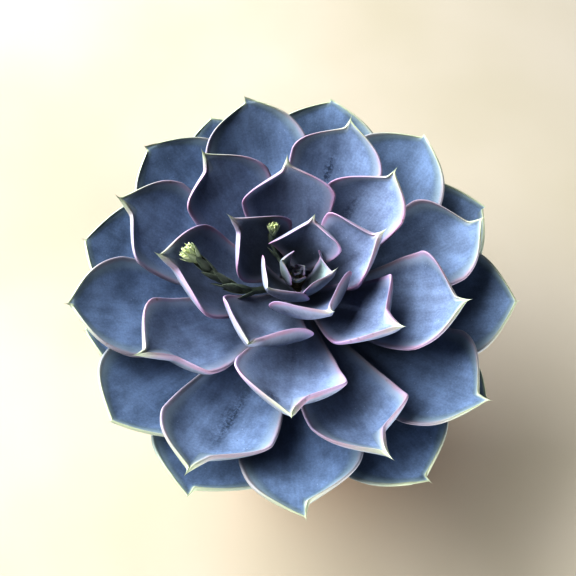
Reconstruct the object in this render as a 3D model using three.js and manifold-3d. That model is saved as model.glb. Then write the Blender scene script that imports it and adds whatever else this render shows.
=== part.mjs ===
// Potted ghost echeveria: a rosette of thick pointed leaves round a short stem, two young flower
// stalks in the leaf axils, and a plain clay pot filled with gritty soil.
// Millimetres, +Z up. The pot's axis and the stem's are the Z axis, and the pot stands on z = 0.
import * as THREE from 'three';
import { mergeVertices } from 'three/addons/utils/BufferGeometryUtils.js';
import Module from 'manifold-3d';

const wasm = await Module();
wasm.setup();

// Pot
const POT_HEIGHT = 88;
const POT_FOOT_RADIUS = 35;
const POT_BODY_TOP_RADIUS = 46;
const COLLAR_HEIGHT = 19;
const COLLAR_LOW_RADIUS = 49;
const COLLAR_TOP_RADIUS = 51;
const POT_WALL = 5;
const POT_FLOOR = 6;
const EDGE_ROUND = 2;
const ROUND_MIDDLE = 0.3;
const COLLAR_CHAMFER = 1;
const POT_SIDES = 48;
const DRAIN_HOLES = 3;
const DRAIN_RADIUS = 4;
const DRAIN_RING_RADIUS = 17;
const DRAIN_SIDES = 16;

// Soil, and the gap that touching pieces keep
const SEAT_GAP = 0.3;
const SOIL_BELOW_RIM = 8;
const SOIL_CROWN = 3;
const SOIL_RELIEF = 0.6;
const SOIL_WAVES = [0.9, 0.8, 0.37];
const SOIL_PLAIN_MARGIN = 1;
const SOIL_RINGS = 7;
const SOIL_SIDES = 36;

// Stem
const GROWING_POINT_Z = 128;
const STEM_IN_SOIL = 24;
const STEM_ROOT_RADIUS = 7;
const STEM_FOOT_RADIUS = 4.2;
const STEM_FOOT_TAPER = 5;
const STEM_ABOVE_SOIL = 0.5;
const STEM_RING_ORDERS = [36, 24, 12, 7, 4, 1];
const STEM_SIDES = 20;

// Leaves in their spiral, counted from the heart (0) outwards
const LEAF_COUNT = 37;
const HEART_LEAF_COUNT = 3;
const HEART_LEAF_RINGS = 7;
const HEART_LEAF_SIDES = 8;
const HEART_CORE_RADIUS = 1.3;
const HEART_CORE_HEIGHT = 4.5;
const FIRST_LEAF_DEG = 130.5;
const LEAF_TURN_DEG = -138;
const LEAF_PITCH = 0.96;
const LEAF_RINGS = 11;
const LEAF_SIDES = 12;
const RING_CROWDING = 1.35;

// Reach of a leaf's tip from the stem: the leaves open out from the heart up to a fully open one,
// and the oldest are drawn in a little again
const HEART_REACH = 3;
const OPEN_REACH = 78;
const OPEN_ORDER = 30;
const OLD_DRAWN_IN = 0.5;
const BUDDING_REACH = 5;

// The leaf's shape along its length: share of its half-width at the base, how fast it swells and
// how its point narrows, the pulls of its middle line, and where its base stands upright
const BASE_SHARE = 0.3;
const SWELL_POWER = 1.25;
const POINT_POWER = 1.8;
const LEAVING_PULL = 0.4;
const ARRIVING_PULL = 0.28;
const UPRIGHT_BASE = 0.14;

// The leaf's shape across: its oval section, the rise of its margins, the fold that turns its left
// margin up along an arc, the slant of its shoulders, and the hook of its tip
const SECTION_POWER = 2.6;
const THICK_AT_MOST = 0.9;
const CUP_POWER = 2.1;
const FOLD_LINE = 0.35;
const FOLD_FROM = 0.4;
const FOLD_FULL = 0.85;
const NO_FOLD = 0.01;
const SKEW_FROM = 0.25;
const SKEW_FULL = 0.65;
const HOOK_POWER = 4;

// How the leaves change with their order: heights are above the growing point, lengths in
// millimetres, bends in degrees off the straight line from a leaf's base to its tip, and the
// fold in degrees.
const TIP_HEIGHT = [[-3, 4.5], [-1, 5.5], [0, 12.5], [3, 16.5], [6, 18.5], [10, 17], [14, 12], [18, 6],
  [22, 0.5], [26, -5], [30, -11], [36, -20]];
const BASE_RADIUS = [[-3, 0.3], [-1, 1], [0, 2.6], [6, 5.4], [36, 8]];
const HALF_WIDTH = [[-3, 1.8], [-1, 3.2], [0, 6.5], [2, 10.5], [4, 13.5], [8, 16], [12, 17],
  [16, 16.5], [20, 18.5], [28, 20.5], [36, 21]];
const HALF_THICKNESS = [[-3, 0.5], [0, 0.8], [6, 1.6], [14, 2.1], [36, 2.2]];
const CUP = [[4, 0.75], [6, 0.6], [8, 0.48], [12, 0.42], [20, 0.36], [28, 0.24], [36, 0.18]];
const BEND_AT_BASE = [[0, 20], [6, 30], [14, 30], [28, 24], [36, 20]];
const BEND_AT_TIP = [[0, 15], [4, 24], [8, 28], [20, 28], [36, 24]];
const WIDEST_AT = [[0, 0.46], [4, 0.52], [8, 0.6], [14, 0.68], [20, 0.7], [26, 0.66], [36, 0.62]];
const LEFT_BLADE_END = [[0, 0.85], [8, 0.64], [20, 0.66], [24, 0.85], [28, 0.92], [36, 0.92]];
const RIGHT_BLADE_END = [[0, 0.85], [12, 0.85], [20, 0.9], [36, 0.92]];
const SHOULDER_POWER = [[0, 2.8], [12, 3], [20, 3], [26, 2.8], [36, 2.8]];
const SHOULDER_FALL = [[0, 1.5], [18, 1.5], [22, 1.05], [36, 0.95]];
const POINT_WIDTH = [[0, 0.6], [20, 0.58], [26, 0.48], [36, 0.48]];
const LEFT_FOLD = [[2, 0], [4, 30], [9, 30], [12, 20], [20, 10], [26, 0], [36, 0]];

// How a leaf runs along its length: share of its cup, and of its thickness
const CUP_RUN = [[0, 0.35], [0.35, 0.6], [0.7, 1], [1, 1]];
const THICKNESS_RUN = [[0, 0.62], [0.2, 0.8], [0.5, 1], [0.8, 0.8], [0.93, 0.45], [1, 0.06]];

// Where a leaf strays from the rule, with left and right as seen from the stem: turn in degrees,
// reach, hook of the tip to the left and extra half-widths in millimetres, where each blade ends
// and is widest, extra fold of the left margin in degrees, skew of the left shoulder past the
// right one, and extra cup.
const STRAIGHT = {
  turn: 0,
  reach: 0,
  hook: 0,
  wider: 0,
  leftWider: 0,
  rightWider: 0,
  leftEnd: 0,
  rightEnd: 0,
  widest: 0,
  fold: 0,
  skew: 0,
  cup: 0,
};
const OWN_WAY = {
  0: { turn: 54, reach: 2.4, wider: -0.5 },
  1: { turn: -12, reach: 4, hook: 4, wider: 1, leftEnd: -0.1, rightEnd: -0.1, widest: -0.06, skew: -0.6 },
  2: { turn: 20, reach: 2 },
  3: { turn: 7, reach: -1.5, hook: -1, leftWider: -0.5, leftEnd: -0.15, rightEnd: -0.2, skew: -0.3 },
  4: {
    turn: 3, reach: -0.5, hook: 2.5, wider: 1, leftWider: -0.5, leftEnd: -0.2, rightEnd: -0.1, fold: 20,
    cup: -0.05,
  },
  5: {
    turn: -8, reach: 1, hook: 3, rightWider: -1, leftEnd: -0.2, rightEnd: -0.08, widest: -0.16,
    skew: 0.15,
  },
  6: { turn: 5, reach: -1, leftWider: 0.5, rightWider: -2.5, leftEnd: -0.05, rightEnd: -0.12, widest: -0.1 },
  7: { turn: 6, leftWider: -0.5, leftEnd: -0.15, widest: -0.06, fold: 60, skew: -0.15 },
  8: {
    turn: -1.5, reach: -1.5, rightWider: -0.8, leftEnd: -0.05, rightEnd: -0.15, widest: 0.02, fold: -25,
  },
  9: {
    turn: 4, reach: -2, leftWider: -1, rightWider: -3, leftEnd: -0.33, rightEnd: -0.08, widest: -0.06,
    fold: 10, skew: 0.15,
  },
  10: { turn: -2, reach: 0.5, leftWider: 0.5, rightWider: -1.5, leftEnd: -0.12, widest: -0.08, fold: -15 },
  11: { turn: 2, reach: -1, leftWider: -2, rightWider: -3, leftEnd: 0.05, fold: -10, skew: -0.2 },
  12: { turn: 1, leftWider: -0.5, rightWider: 1, leftEnd: -0.33, fold: -5, skew: 0.2 },
  13: { turn: 1, reach: -2, leftWider: -1, rightWider: -0.7, leftEnd: -0.14, fold: -10, skew: 0.1 },
  14: { turn: -2, reach: -1, rightWider: 2, fold: -5, skew: -0.1 },
  15: {
    leftWider: -1.5, rightWider: -1, leftEnd: -0.4, rightEnd: -0.2, widest: -0.02, fold: 10,
    skew: -0.15,
  },
  16: { turn: -2, leftEnd: 0.05, fold: -25 },
  17: {
    turn: -3.5, reach: 3.5, hook: 2.4, wider: -1, leftEnd: -0.33, rightEnd: -0.15, widest: -0.02,
    fold: 15, skew: 0.1,
  },
  18: { turn: -1, rightWider: -1, leftEnd: -0.13 },
  19: { turn: -1, leftWider: -2, skew: -0.12 },
  20: { turn: 1, reach: 4, rightWider: -1.5, leftEnd: -0.22, rightEnd: -0.1, fold: -5, skew: -0.17 },
  21: { turn: 1, reach: 1.5, leftEnd: 0.15, rightEnd: 0.07, fold: -15 },
  22: { reach: 1, leftWider: -1, rightWider: 1, leftEnd: -0.05 },
  23: { reach: 2, leftWider: -1, rightWider: -1.5, leftEnd: 0.05 },
  24: { turn: 1.5, reach: 1, leftWider: 0.7, rightWider: 2, leftEnd: 0.05, rightEnd: 0.06 },
  25: { reach: 1.5, leftEnd: -0.22, skew: -0.08 },
  26: { turn: 2, reach: -1, leftWider: -1, rightWider: 4, rightEnd: 0.05 },
  27: { turn: 1, leftWider: 2.5, rightWider: 0.5 },
  28: { turn: 1, reach: -2, leftWider: 0.5, rightWider: 1.5, skew: -0.25 },
  29: { reach: 2.5, leftWider: 2.5, rightWider: 4, rightEnd: 0.06 },
  30: { turn: 1.5, leftWider: 1.5, rightWider: 1, leftEnd: -0.1 },
  31: { turn: 2, reach: -0.5, leftWider: -1.5, rightWider: 5 },
  32: { turn: 1, reach: 3, leftWider: 4.5, leftEnd: 0.05 },
  33: { turn: -4, reach: 1, wider: 1.5, leftWider: 3, rightWider: 0.5, leftEnd: -0.15, skew: -0.1 },
  34: { turn: 3, reach: 6 },
  35: { wider: -4 },
  36: { turn: -4, reach: -1 },
};

// Flower stalks: their middle lines as points from the growing point, how many bracts and buds they
// bear, and how large the stalk and its head are
const STALKS = [
  {
    path: [[-4.7, -2.9, -2.7], [-9, -5.5, -1.1], [-15, -8.4, 1.9], [-23, -7.8, 5.5], [-31.2, -4.8, 11.6]],
    bracts: 9,
    buds: 12,
    size: 1.05,
    headSize: 1.2,
  },
  {
    path: [[-4.5, 3, -0.3], [-7.5, 6, 1.1], [-9.4, 8.7, 3.4], [-9.8, 10.6, 6.7]],
    bracts: 4,
    buds: 8,
    size: 0.7,
    headSize: 0.8,
  },
];
const STALK_RADIUS = 1.05;
const STALK_SIDES = 6;
const STALK_STEPS = 10;
const GOLDEN_TURN = Math.PI * (3 - Math.sqrt(5));

// Bracts: their sizes, the stretch of the stalk that bears them, and their lean off the stalk.
// An outline gives the width at a share of the length.
const BRACT_LENGTH = 5.5;
const BRACT_HALF_WIDTH = 1.1;
const BRACT_HALF_THICKNESS = 0.45;
const BRACTS_FROM = 0.3;
const BRACTS_TO = 0.78;
const BRACT_SPREAD_DEG = 20;
const BRACT_OUTLINE = [[0, 0.6], [0.35, 1], [0.7, 0.75]];
const BRACT_SIDES = 4;

// Buds: their sizes, how deep they start in the core, and the angle of the widest ones
const BUD_LENGTH = 3.8;
const BUD_RADIUS = 1.05;
const BUD_CORE_RADIUS = 1.7;
const BUD_START = 0.7;
const BUD_SPREAD_DEG = 80;
const BUD_OUTLINE = [[0, 0.55], [0.4, 1], [0.75, 0.8]];
const BUD_SIDES = 5;

// Colours
const CLAY = 0xb5683f;
const SOIL = 0x3f3127;
const STEM = 0x8a7f63;
const HEART = 0x8f93ad;
const INNER_LEAF = 0x8b8fb0;
const OUTER_LEAF = 0x7e93a0;
const STALK = 0x5f6b60;
const BUDS = 0xaab86a;

const radians = THREE.MathUtils.degToRad;
const lerp = THREE.MathUtils.lerp;
const clamp = THREE.MathUtils.clamp;

// A value that follows x along straight runs between [x, value] points, level past both ends.
function along(points, x) {
  const next = points.findIndex(([at]) => at >= x);
  if (next === -1) return points[points.length - 1][1];
  if (next === 0) return points[0][1];
  const [x0, value0] = points[next - 1];
  const [x1, value1] = points[next];
  return lerp(value0, value1, (x - x0) / (x1 - x0));
}

// A closed geometry from rings of points, running from a flat cap on the first to an end point.
function ringSolid(rings, endPoint) {
  const sides = rings[0].length;
  const startCentre = new THREE.Vector3();
  for (const point of rings[0]) startCentre.addScaledVector(point, 1 / sides);
  const points = [...rings.flat(), startCentre, endPoint];
  const start = points.length - 2;
  const end = points.length - 1;
  const faces = [];
  for (let ring = 0; ring < rings.length; ring++) {
    for (let side = 0; side < sides; side++) {
      const a = ring * sides + side;
      const b = ring * sides + ((side + 1) % sides);
      if (ring === 0) faces.push(b, a, start);
      if (ring === rings.length - 1) faces.push(a, b, end);
      else faces.push(a, b, a + sides, b, b + sides, a + sides);
    }
  }
  const geometry = new THREE.BufferGeometry().setFromPoints(points);
  geometry.setIndex(faces);
  return geometry;
}

// A closed geometry as a solid for joining and cutting.
function solid(geometry) {
  const bare = geometry.clone();
  bare.deleteAttribute('normal');
  bare.deleteAttribute('uv');
  const merged = mergeVertices(bare, 1e-3);
  return new wasm.Manifold(new wasm.Mesh({
    numProp: 3,
    vertProperties: merged.attributes.position.array,
    triVerts: new Uint32Array(merged.index.array),
  }));
}

// A solid back as a geometry.
function geometryOf(made) {
  const mesh = made.getMesh();
  const geometry = new THREE.BufferGeometry();
  geometry.setAttribute('position', new THREE.BufferAttribute(mesh.vertProperties, 3));
  geometry.setIndex(new THREE.BufferAttribute(mesh.triVerts, 1));
  return geometry;
}

const fused = (geometries) => geometryOf(geometries.map(solid).reduce((all, one) => all.add(one)));

const plant = new THREE.Group();

function addPiece(name, geometry, colour, roughness) {
  geometry.computeVertexNormals();
  const material = new THREE.MeshStandardMaterial({ color: colour, roughness, metalness: 0 });
  const mesh = new THREE.Mesh(geometry, material);
  mesh.name = name;
  plant.add(mesh);
  return mesh;
}

// Radius of the pot's inner wall at a height.
function potInnerRadius(z) {
  const share = (z - POT_FLOOR) / (POT_HEIGHT - POT_FLOOR);
  return lerp(POT_FOOT_RADIUS, POT_BODY_TOP_RADIUS, share) - POT_WALL;
}

// A tapered clay pot with a collar, a flat foot, and drain holes in a ring round its solid centre.
function pot() {
  const collarZ = POT_HEIGHT - COLLAR_HEIGHT;
  const bodyRadius = (z) => lerp(POT_FOOT_RADIUS, POT_BODY_TOP_RADIUS, z / collarZ);
  const profile = [
    [0, 0],
    [POT_FOOT_RADIUS - EDGE_ROUND, 0],
    [bodyRadius(EDGE_ROUND), EDGE_ROUND],
    [bodyRadius(collarZ), collarZ],
    [COLLAR_LOW_RADIUS - COLLAR_CHAMFER, collarZ],
    [COLLAR_LOW_RADIUS, collarZ + COLLAR_CHAMFER],
    [COLLAR_TOP_RADIUS, POT_HEIGHT - EDGE_ROUND],
    [COLLAR_TOP_RADIUS - ROUND_MIDDLE * EDGE_ROUND, POT_HEIGHT - ROUND_MIDDLE * EDGE_ROUND],
    [COLLAR_TOP_RADIUS - EDGE_ROUND, POT_HEIGHT],
    [potInnerRadius(POT_HEIGHT) + EDGE_ROUND, POT_HEIGHT],
    [potInnerRadius(POT_HEIGHT - EDGE_ROUND), POT_HEIGHT - EDGE_ROUND],
    [potInnerRadius(POT_FLOOR), POT_FLOOR],
    [0, POT_FLOOR],
  ].map(([radius, z]) => new THREE.Vector2(radius, z));
  const shell = new THREE.LatheGeometry(profile, POT_SIDES).rotateX(Math.PI / 2);
  let body = solid(shell);
  for (let hole = 0; hole < DRAIN_HOLES; hole++) {
    const angle = (hole * 2 * Math.PI) / DRAIN_HOLES;
    const drill = new THREE.CylinderGeometry(DRAIN_RADIUS, DRAIN_RADIUS, 3 * POT_FLOOR, DRAIN_SIDES)
      .rotateX(Math.PI / 2)
      .translate(DRAIN_RING_RADIUS * Math.cos(angle), DRAIN_RING_RADIUS * Math.sin(angle), 0);
    body = body.subtract(solid(drill));
  }
  return geometryOf(body);
}

// Gritty soil that fills the pot, crowned towards the stem, with a plain hole for the stem.
function soil() {
  const top = POT_HEIGHT - SOIL_BELOW_RIM;
  const bottom = POT_FLOOR + SEAT_GAP;
  const edge = potInnerRadius(top) - SEAT_GAP;
  const hole = STEM_ROOT_RADIUS + SEAT_GAP;
  const profile = [
    new THREE.Vector2(0, bottom),
    new THREE.Vector2(potInnerRadius(bottom) - SEAT_GAP, bottom),
  ];
  for (let ring = 0; ring <= SOIL_RINGS; ring++) {
    const share = ring / SOIL_RINGS;
    profile.push(new THREE.Vector2(lerp(edge, hole, share), top + SOIL_CROWN * share));
  }
  const holeFloor = top - STEM_IN_SOIL - SEAT_GAP;
  profile.push(new THREE.Vector2(hole, holeFloor), new THREE.Vector2(0, holeFloor));
  const geometry = new THREE.LatheGeometry(profile, SOIL_SIDES).rotateX(Math.PI / 2);
  const position = geometry.attributes.position;
  for (let i = 0; i < position.count; i++) {
    const x = position.getX(i);
    const y = position.getY(i);
    const radius = Math.hypot(x, y);
    const onTop = position.getZ(i) > top - SOIL_PLAIN_MARGIN;
    if (!onTop || radius > edge - SOIL_PLAIN_MARGIN || radius < hole + SOIL_PLAIN_MARGIN) continue;
    const [waveX, waveY, waveXY] = SOIL_WAVES;
    const relief = Math.sin(waveX * x + 1) * Math.cos(waveY * y) + Math.sin(waveXY * x * y + 2);
    position.setZ(i, position.getZ(i) + SOIL_RELIEF * relief);
  }
  return geometry;
}

// Radius of the stem at a height, one seat gap inside the leaf bases that ring it.
function stemRadius(z) {
  const order = (GROWING_POINT_Z - z) / LEAF_PITCH;
  return along(BASE_RADIUS, order) - SEAT_GAP;
}

// The short stem, from its foot in the soil to the growing point.
function stem() {
  const foot = POT_HEIGHT - SOIL_BELOW_RIM - STEM_IN_SOIL;
  const crown = POT_HEIGHT - SOIL_BELOW_RIM + SOIL_CROWN;
  const profile = [
    [0, foot],
    [STEM_FOOT_RADIUS, foot],
    [STEM_ROOT_RADIUS, foot + STEM_FOOT_TAPER],
    [STEM_ROOT_RADIUS, crown + STEM_ABOVE_SOIL],
  ];
  for (const order of STEM_RING_ORDERS) {
    const z = GROWING_POINT_Z - order * LEAF_PITCH;
    profile.push([stemRadius(z + LEAF_PITCH), z]);
  }
  profile.push([0, GROWING_POINT_Z]);
  const points = profile.map(([radius, z]) => new THREE.Vector2(radius, z));
  return new THREE.LatheGeometry(points, STEM_SIDES).rotateX(Math.PI / 2);
}

// Everything that sets one leaf's form, from the rule and the leaf's own way.
function leafForm(order) {
  const own = { ...STRAIGHT, ...OWN_WAY[order] };
  const halfWidth = along(HALF_WIDTH, order) + own.wider;
  const openness = 1 - (1 - clamp(order / OPEN_ORDER, 0, 1)) ** 2;
  const openReach = order < 0 ? BUDDING_REACH + order : lerp(HEART_REACH, OPEN_REACH, openness);
  const drawnIn = OLD_DRAWN_IN * Math.max(0, order - OPEN_ORDER);
  return {
    azimuth: radians(FIRST_LEAF_DEG + LEAF_TURN_DEG * order + own.turn),
    reach: openReach - drawnIn + own.reach,
    tipZ: along(TIP_HEIGHT, order),
    baseZ: -LEAF_PITCH * order,
    baseRadius: along(BASE_RADIUS, order),
    leftWidth: halfWidth + own.leftWider,
    rightWidth: halfWidth + own.rightWider,
    halfThickness: along(HALF_THICKNESS, order),
    cup: along(CUP, order) + own.cup,
    bendAtBase: radians(along(BEND_AT_BASE, order)),
    bendAtTip: radians(along(BEND_AT_TIP, order)),
    widestAt: along(WIDEST_AT, order) + own.widest,
    leftBladeEnd: along(LEFT_BLADE_END, order) + own.leftEnd,
    rightBladeEnd: along(RIGHT_BLADE_END, order) + own.rightEnd,
    shoulderPower: along(SHOULDER_POWER, order),
    shoulderFall: along(SHOULDER_FALL, order),
    pointWidth: along(POINT_WIDTH, order),
    fold: radians(Math.max(0, along(LEFT_FOLD, order) + own.fold)),
    skew: own.skew,
    hook: own.hook,
  };
}

// A leaf's half-width at a share of its length: it swells from the base to the widest place, then
// falls round the shoulder to where the blade ends, and a narrow point runs on to the tip.
function widthShare(form, t, bladeEnd) {
  if (t < form.widestAt) {
    const swell = Math.sin((Math.PI / 2) * (t / form.widestAt)) ** SWELL_POWER;
    return lerp(BASE_SHARE, 1, swell);
  }
  const s = (t - form.widestAt) / (1 - form.widestAt);
  const shoulder = Math.max(0, 1 - (s / bladeEnd) ** form.shoulderPower) ** form.shoulderFall;
  const point = form.pointWidth * (1 - s) ** POINT_POWER;
  return Math.hypot(shoulder, point) / Math.hypot(1, form.pointWidth);
}

// A leaf's middle line in its own upright plane: outward distance and height, as a cubic curve.
function middleLine(form) {
  const base = new THREE.Vector2(form.baseRadius, form.baseZ);
  const tip = new THREE.Vector2(form.reach, form.tipZ);
  const chord = tip.clone().sub(base);
  const slope = Math.atan2(chord.y, chord.x);
  const away = (angle, length) => new THREE.Vector2(Math.cos(angle), Math.sin(angle))
    .multiplyScalar(length * chord.length());
  const leaving = base.clone().add(away(slope - form.bendAtBase, LEAVING_PULL));
  const arriving = tip.clone().sub(away(slope + form.bendAtTip, ARRIVING_PULL));
  return new THREE.CubicBezierCurve(base, leaving, arriving, tip);
}

// Where a share u of the half-width lies when the left margin is folded: flat up to the fold line,
// then along an arc that has turned by the whole fold at the margin. It gives the place across, the
// rise and the turn there.
function foldedSection(u, fold) {
  if (u <= FOLD_LINE || fold < NO_FOLD) return [u, 0, 0];
  const radius = (1 - FOLD_LINE) / fold;
  const turned = (u - FOLD_LINE) / radius;
  return [FOLD_LINE + radius * Math.sin(turned), radius * (1 - Math.cos(turned)), turned];
}

// One ring of a leaf's skin at a share t of its length: a flattened oval across the leaf, with
// both margins raised by the cup, and the left one folded up. At the base the ring stands upright
// against the stem.
function leafRing(form, line, t, sides) {
  const centre = line.getPoint(t);
  const run = line.getTangent(t);
  const upright = 1 - THREE.MathUtils.smoothstep(t, 0, UPRIGHT_BASE);
  const rise = new THREE.Vector2(-run.y, run.x).lerp(new THREE.Vector2(0, 1), upright).normalize();
  const outward = new THREE.Vector3(Math.cos(form.azimuth), Math.sin(form.azimuth), 0);
  const sideways = new THREE.Vector3(-outward.y, outward.x, 0);
  const inSpace = (flat) => outward.clone().multiplyScalar(flat.x).setZ(flat.y);
  const leftWidth = form.leftWidth * widthShare(form, t, form.leftBladeEnd);
  const rightWidth = form.rightWidth * widthShare(form, t, form.rightBladeEnd);
  const thinnest = THICK_AT_MOST * Math.min(leftWidth, rightWidth);
  const thick = Math.min(form.halfThickness * along(THICKNESS_RUN, t), thinnest);
  const cup = form.cup * along(CUP_RUN, t);
  const fold = form.fold * THREE.MathUtils.smoothstep(t, FOLD_FROM, FOLD_FULL);
  const skew = form.skew * clamp((t - SKEW_FROM) / (SKEW_FULL - SKEW_FROM), 0, 1);
  const ring = [];
  for (let side = 0; side < sides; side++) {
    const angle = (2 * Math.PI * side) / sides;
    const u = Math.sign(Math.cos(angle)) * Math.abs(Math.cos(angle)) ** (2 / SECTION_POWER);
    const v = Math.sign(Math.sin(angle)) * Math.abs(Math.sin(angle)) ** (2 / SECTION_POWER);
    const [across, up, lean] = foldedSection(u, fold);
    const halfWidth = u > 0 ? leftWidth : rightWidth;
    const raised = cup * halfWidth * Math.abs(u) ** CUP_POWER;
    ring.push(inSpace(centre)
      .addScaledVector(sideways, halfWidth * across - thick * v * Math.sin(lean))
      .addScaledVector(sideways, form.hook * t ** HOOK_POWER)
      .addScaledVector(inSpace(rise), raised + halfWidth * up + thick * v * Math.cos(lean))
      .addScaledVector(inSpace(run), skew * halfWidth * u));
  }
  return ring;
}

// A whole leaf as one closed skin. Its rings crowd towards the tip, where the outline turns most.
function leaf(order, ringCount = LEAF_RINGS, sides = LEAF_SIDES) {
  const form = leafForm(order);
  const line = middleLine(form);
  const rings = [];
  for (let i = 0; i < ringCount; i++) {
    rings.push(leafRing(form, line, 1 - (1 - i / ringCount) ** RING_CROWDING, sides));
  }
  const tip = line.getPoint(1);
  const end = new THREE.Vector3(tip.x * Math.cos(form.azimuth), tip.x * Math.sin(form.azimuth), tip.y);
  end.x -= form.hook * Math.sin(form.azimuth);
  end.y += form.hook * Math.cos(form.azimuth);
  return ringSolid(rings, end).translate(0, 0, GROWING_POINT_Z);
}

// The heart: the last small leaves, grown together round a pointed core.
function heart() {
  const low = GROWING_POINT_Z + SEAT_GAP;
  const core = new THREE.LatheGeometry([
    new THREE.Vector2(0, low),
    new THREE.Vector2(HEART_CORE_RADIUS, low),
    new THREE.Vector2(HEART_CORE_RADIUS, low + HEART_CORE_HEIGHT / 2),
    new THREE.Vector2(0, low + HEART_CORE_HEIGHT),
  ], HEART_LEAF_SIDES).rotateX(Math.PI / 2);
  const pieces = [core];
  for (let i = 1; i <= HEART_LEAF_COUNT; i++) {
    pieces.push(leaf(-i, HEART_LEAF_RINGS, HEART_LEAF_SIDES));
  }
  return fused(pieces);
}

// A small closed spindle from a start point along a direction: a bract when flat, a bud when round.
function spindle(start, direction, flat, size, outline, sides) {
  const across = flat.clone().cross(direction);
  const rings = outline.map(([share, width]) => {
    const centre = start.clone().addScaledVector(direction, size.length * share);
    const ring = [];
    for (let side = 0; side < sides; side++) {
      const angle = (2 * Math.PI * side) / sides;
      ring.push(centre.clone()
        .addScaledVector(across, size.halfWidth * width * Math.cos(angle))
        .addScaledVector(flat, size.halfThickness * width * Math.sin(angle)));
    }
    return ring;
  });
  return ringSolid(rings, start.clone().addScaledVector(direction, size.length));
}

// Two directions square to a given one, the first level.
function squareTo(direction) {
  const level = new THREE.Vector3(0, 0, 1).cross(direction).normalize();
  return [level, direction.clone().cross(level)];
}

const stalkLine = (stalk) => new THREE.CatmullRomCurve3(
  stalk.path.map(([x, y, z]) => new THREE.Vector3(x, y, z + GROWING_POINT_Z)),
);

// A flower stalk with its bracts, which turn round it and lean forwards.
function flowerStalk(stalk) {
  const line = stalkLine(stalk);
  const radius = STALK_RADIUS * stalk.size;
  const section = new THREE.Shape();
  for (let side = 0; side < STALK_SIDES; side++) {
    const angle = (2 * Math.PI * side) / STALK_SIDES;
    const corner = [radius * Math.cos(angle), radius * Math.sin(angle)];
    if (side === 0) section.moveTo(...corner);
    else section.lineTo(...corner);
  }
  const stalkBody = new THREE.ExtrudeGeometry(section, { extrudePath: line, steps: STALK_STEPS });
  const pieces = [stalkBody];
  const spread = radians(BRACT_SPREAD_DEG);
  const size = {
    length: BRACT_LENGTH * stalk.size,
    halfWidth: BRACT_HALF_WIDTH * stalk.size,
    halfThickness: BRACT_HALF_THICKNESS,
  };
  for (let i = 0; i < stalk.bracts; i++) {
    const place = lerp(BRACTS_FROM, BRACTS_TO, i / (stalk.bracts - 1));
    const run = line.getTangentAt(place);
    const [level, upper] = squareTo(run);
    const out = level.multiplyScalar(Math.cos(i * GOLDEN_TURN))
      .addScaledVector(upper, Math.sin(i * GOLDEN_TURN));
    const lean = run.clone().multiplyScalar(Math.cos(spread)).addScaledVector(out, Math.sin(spread));
    const flat = out.clone().multiplyScalar(Math.cos(spread)).addScaledVector(run, -Math.sin(spread));
    pieces.push(spindle(line.getPointAt(place), lean, flat, size, BRACT_OUTLINE, BRACT_SIDES));
  }
  return fused(pieces);
}

// A head of young buds that stand out of a small round core at the end of a stalk.
function budHead(stalk) {
  const line = stalkLine(stalk);
  const forward = line.getTangentAt(1);
  const [level, upper] = squareTo(forward);
  const coreRadius = BUD_CORE_RADIUS * stalk.headSize;
  const core = line.getPointAt(1).addScaledVector(forward, coreRadius + SEAT_GAP);
  const pieces = [new THREE.SphereGeometry(coreRadius, 8, 5).translate(...core)];
  const budRadius = BUD_RADIUS * stalk.headSize;
  const size = {
    length: BUD_LENGTH * stalk.headSize,
    halfWidth: budRadius,
    halfThickness: budRadius,
  };
  for (let i = 0; i < stalk.buds; i++) {
    const fall = ((i + 0.5) / stalk.buds) * (1 - Math.cos(radians(BUD_SPREAD_DEG)));
    const forwardShare = 1 - fall;
    const sideShare = Math.sqrt(1 - forwardShare ** 2);
    const turn = i * GOLDEN_TURN;
    const direction = forward.clone().multiplyScalar(forwardShare)
      .addScaledVector(level, sideShare * Math.cos(turn))
      .addScaledVector(upper, sideShare * Math.sin(turn));
    const [flat] = squareTo(direction);
    const start = core.clone().addScaledVector(direction, BUD_START * stalk.headSize);
    pieces.push(spindle(start, direction, flat, size, BUD_OUTLINE, BUD_SIDES));
  }
  return fused(pieces);
}

addPiece('pot', pot(), CLAY, 0.85);
addPiece('soil', soil(), SOIL, 1);
addPiece('stem', stem(), STEM, 0.8);
addPiece('heart', heart(), HEART, 0.6);
for (let order = 0; order < LEAF_COUNT; order++) {
  const share = order / (LEAF_COUNT - 1);
  const colour = new THREE.Color(INNER_LEAF).lerp(new THREE.Color(OUTER_LEAF), share);
  addPiece(`leaf_${String(order + 1).padStart(2, '0')}`, leaf(order), colour, 0.6);
}
STALKS.forEach((stalk, i) => {
  addPiece(`flower_stalk_${i + 1}`, flowerStalk(stalk), STALK, 0.65);
  addPiece(`bud_head_${i + 1}`, budHead(stalk), BUDS, 0.55);
});

export default plant;
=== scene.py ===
"""The looks of a potted ghost echeveria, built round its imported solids: powdery blue-grey leaves
with pale margins, two young flower stalks, a corky stem, gritty soil and a plain clay pot."""
import math
from types import SimpleNamespace

import bpy
import numpy as np
from mathutils import Matrix, Vector


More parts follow.
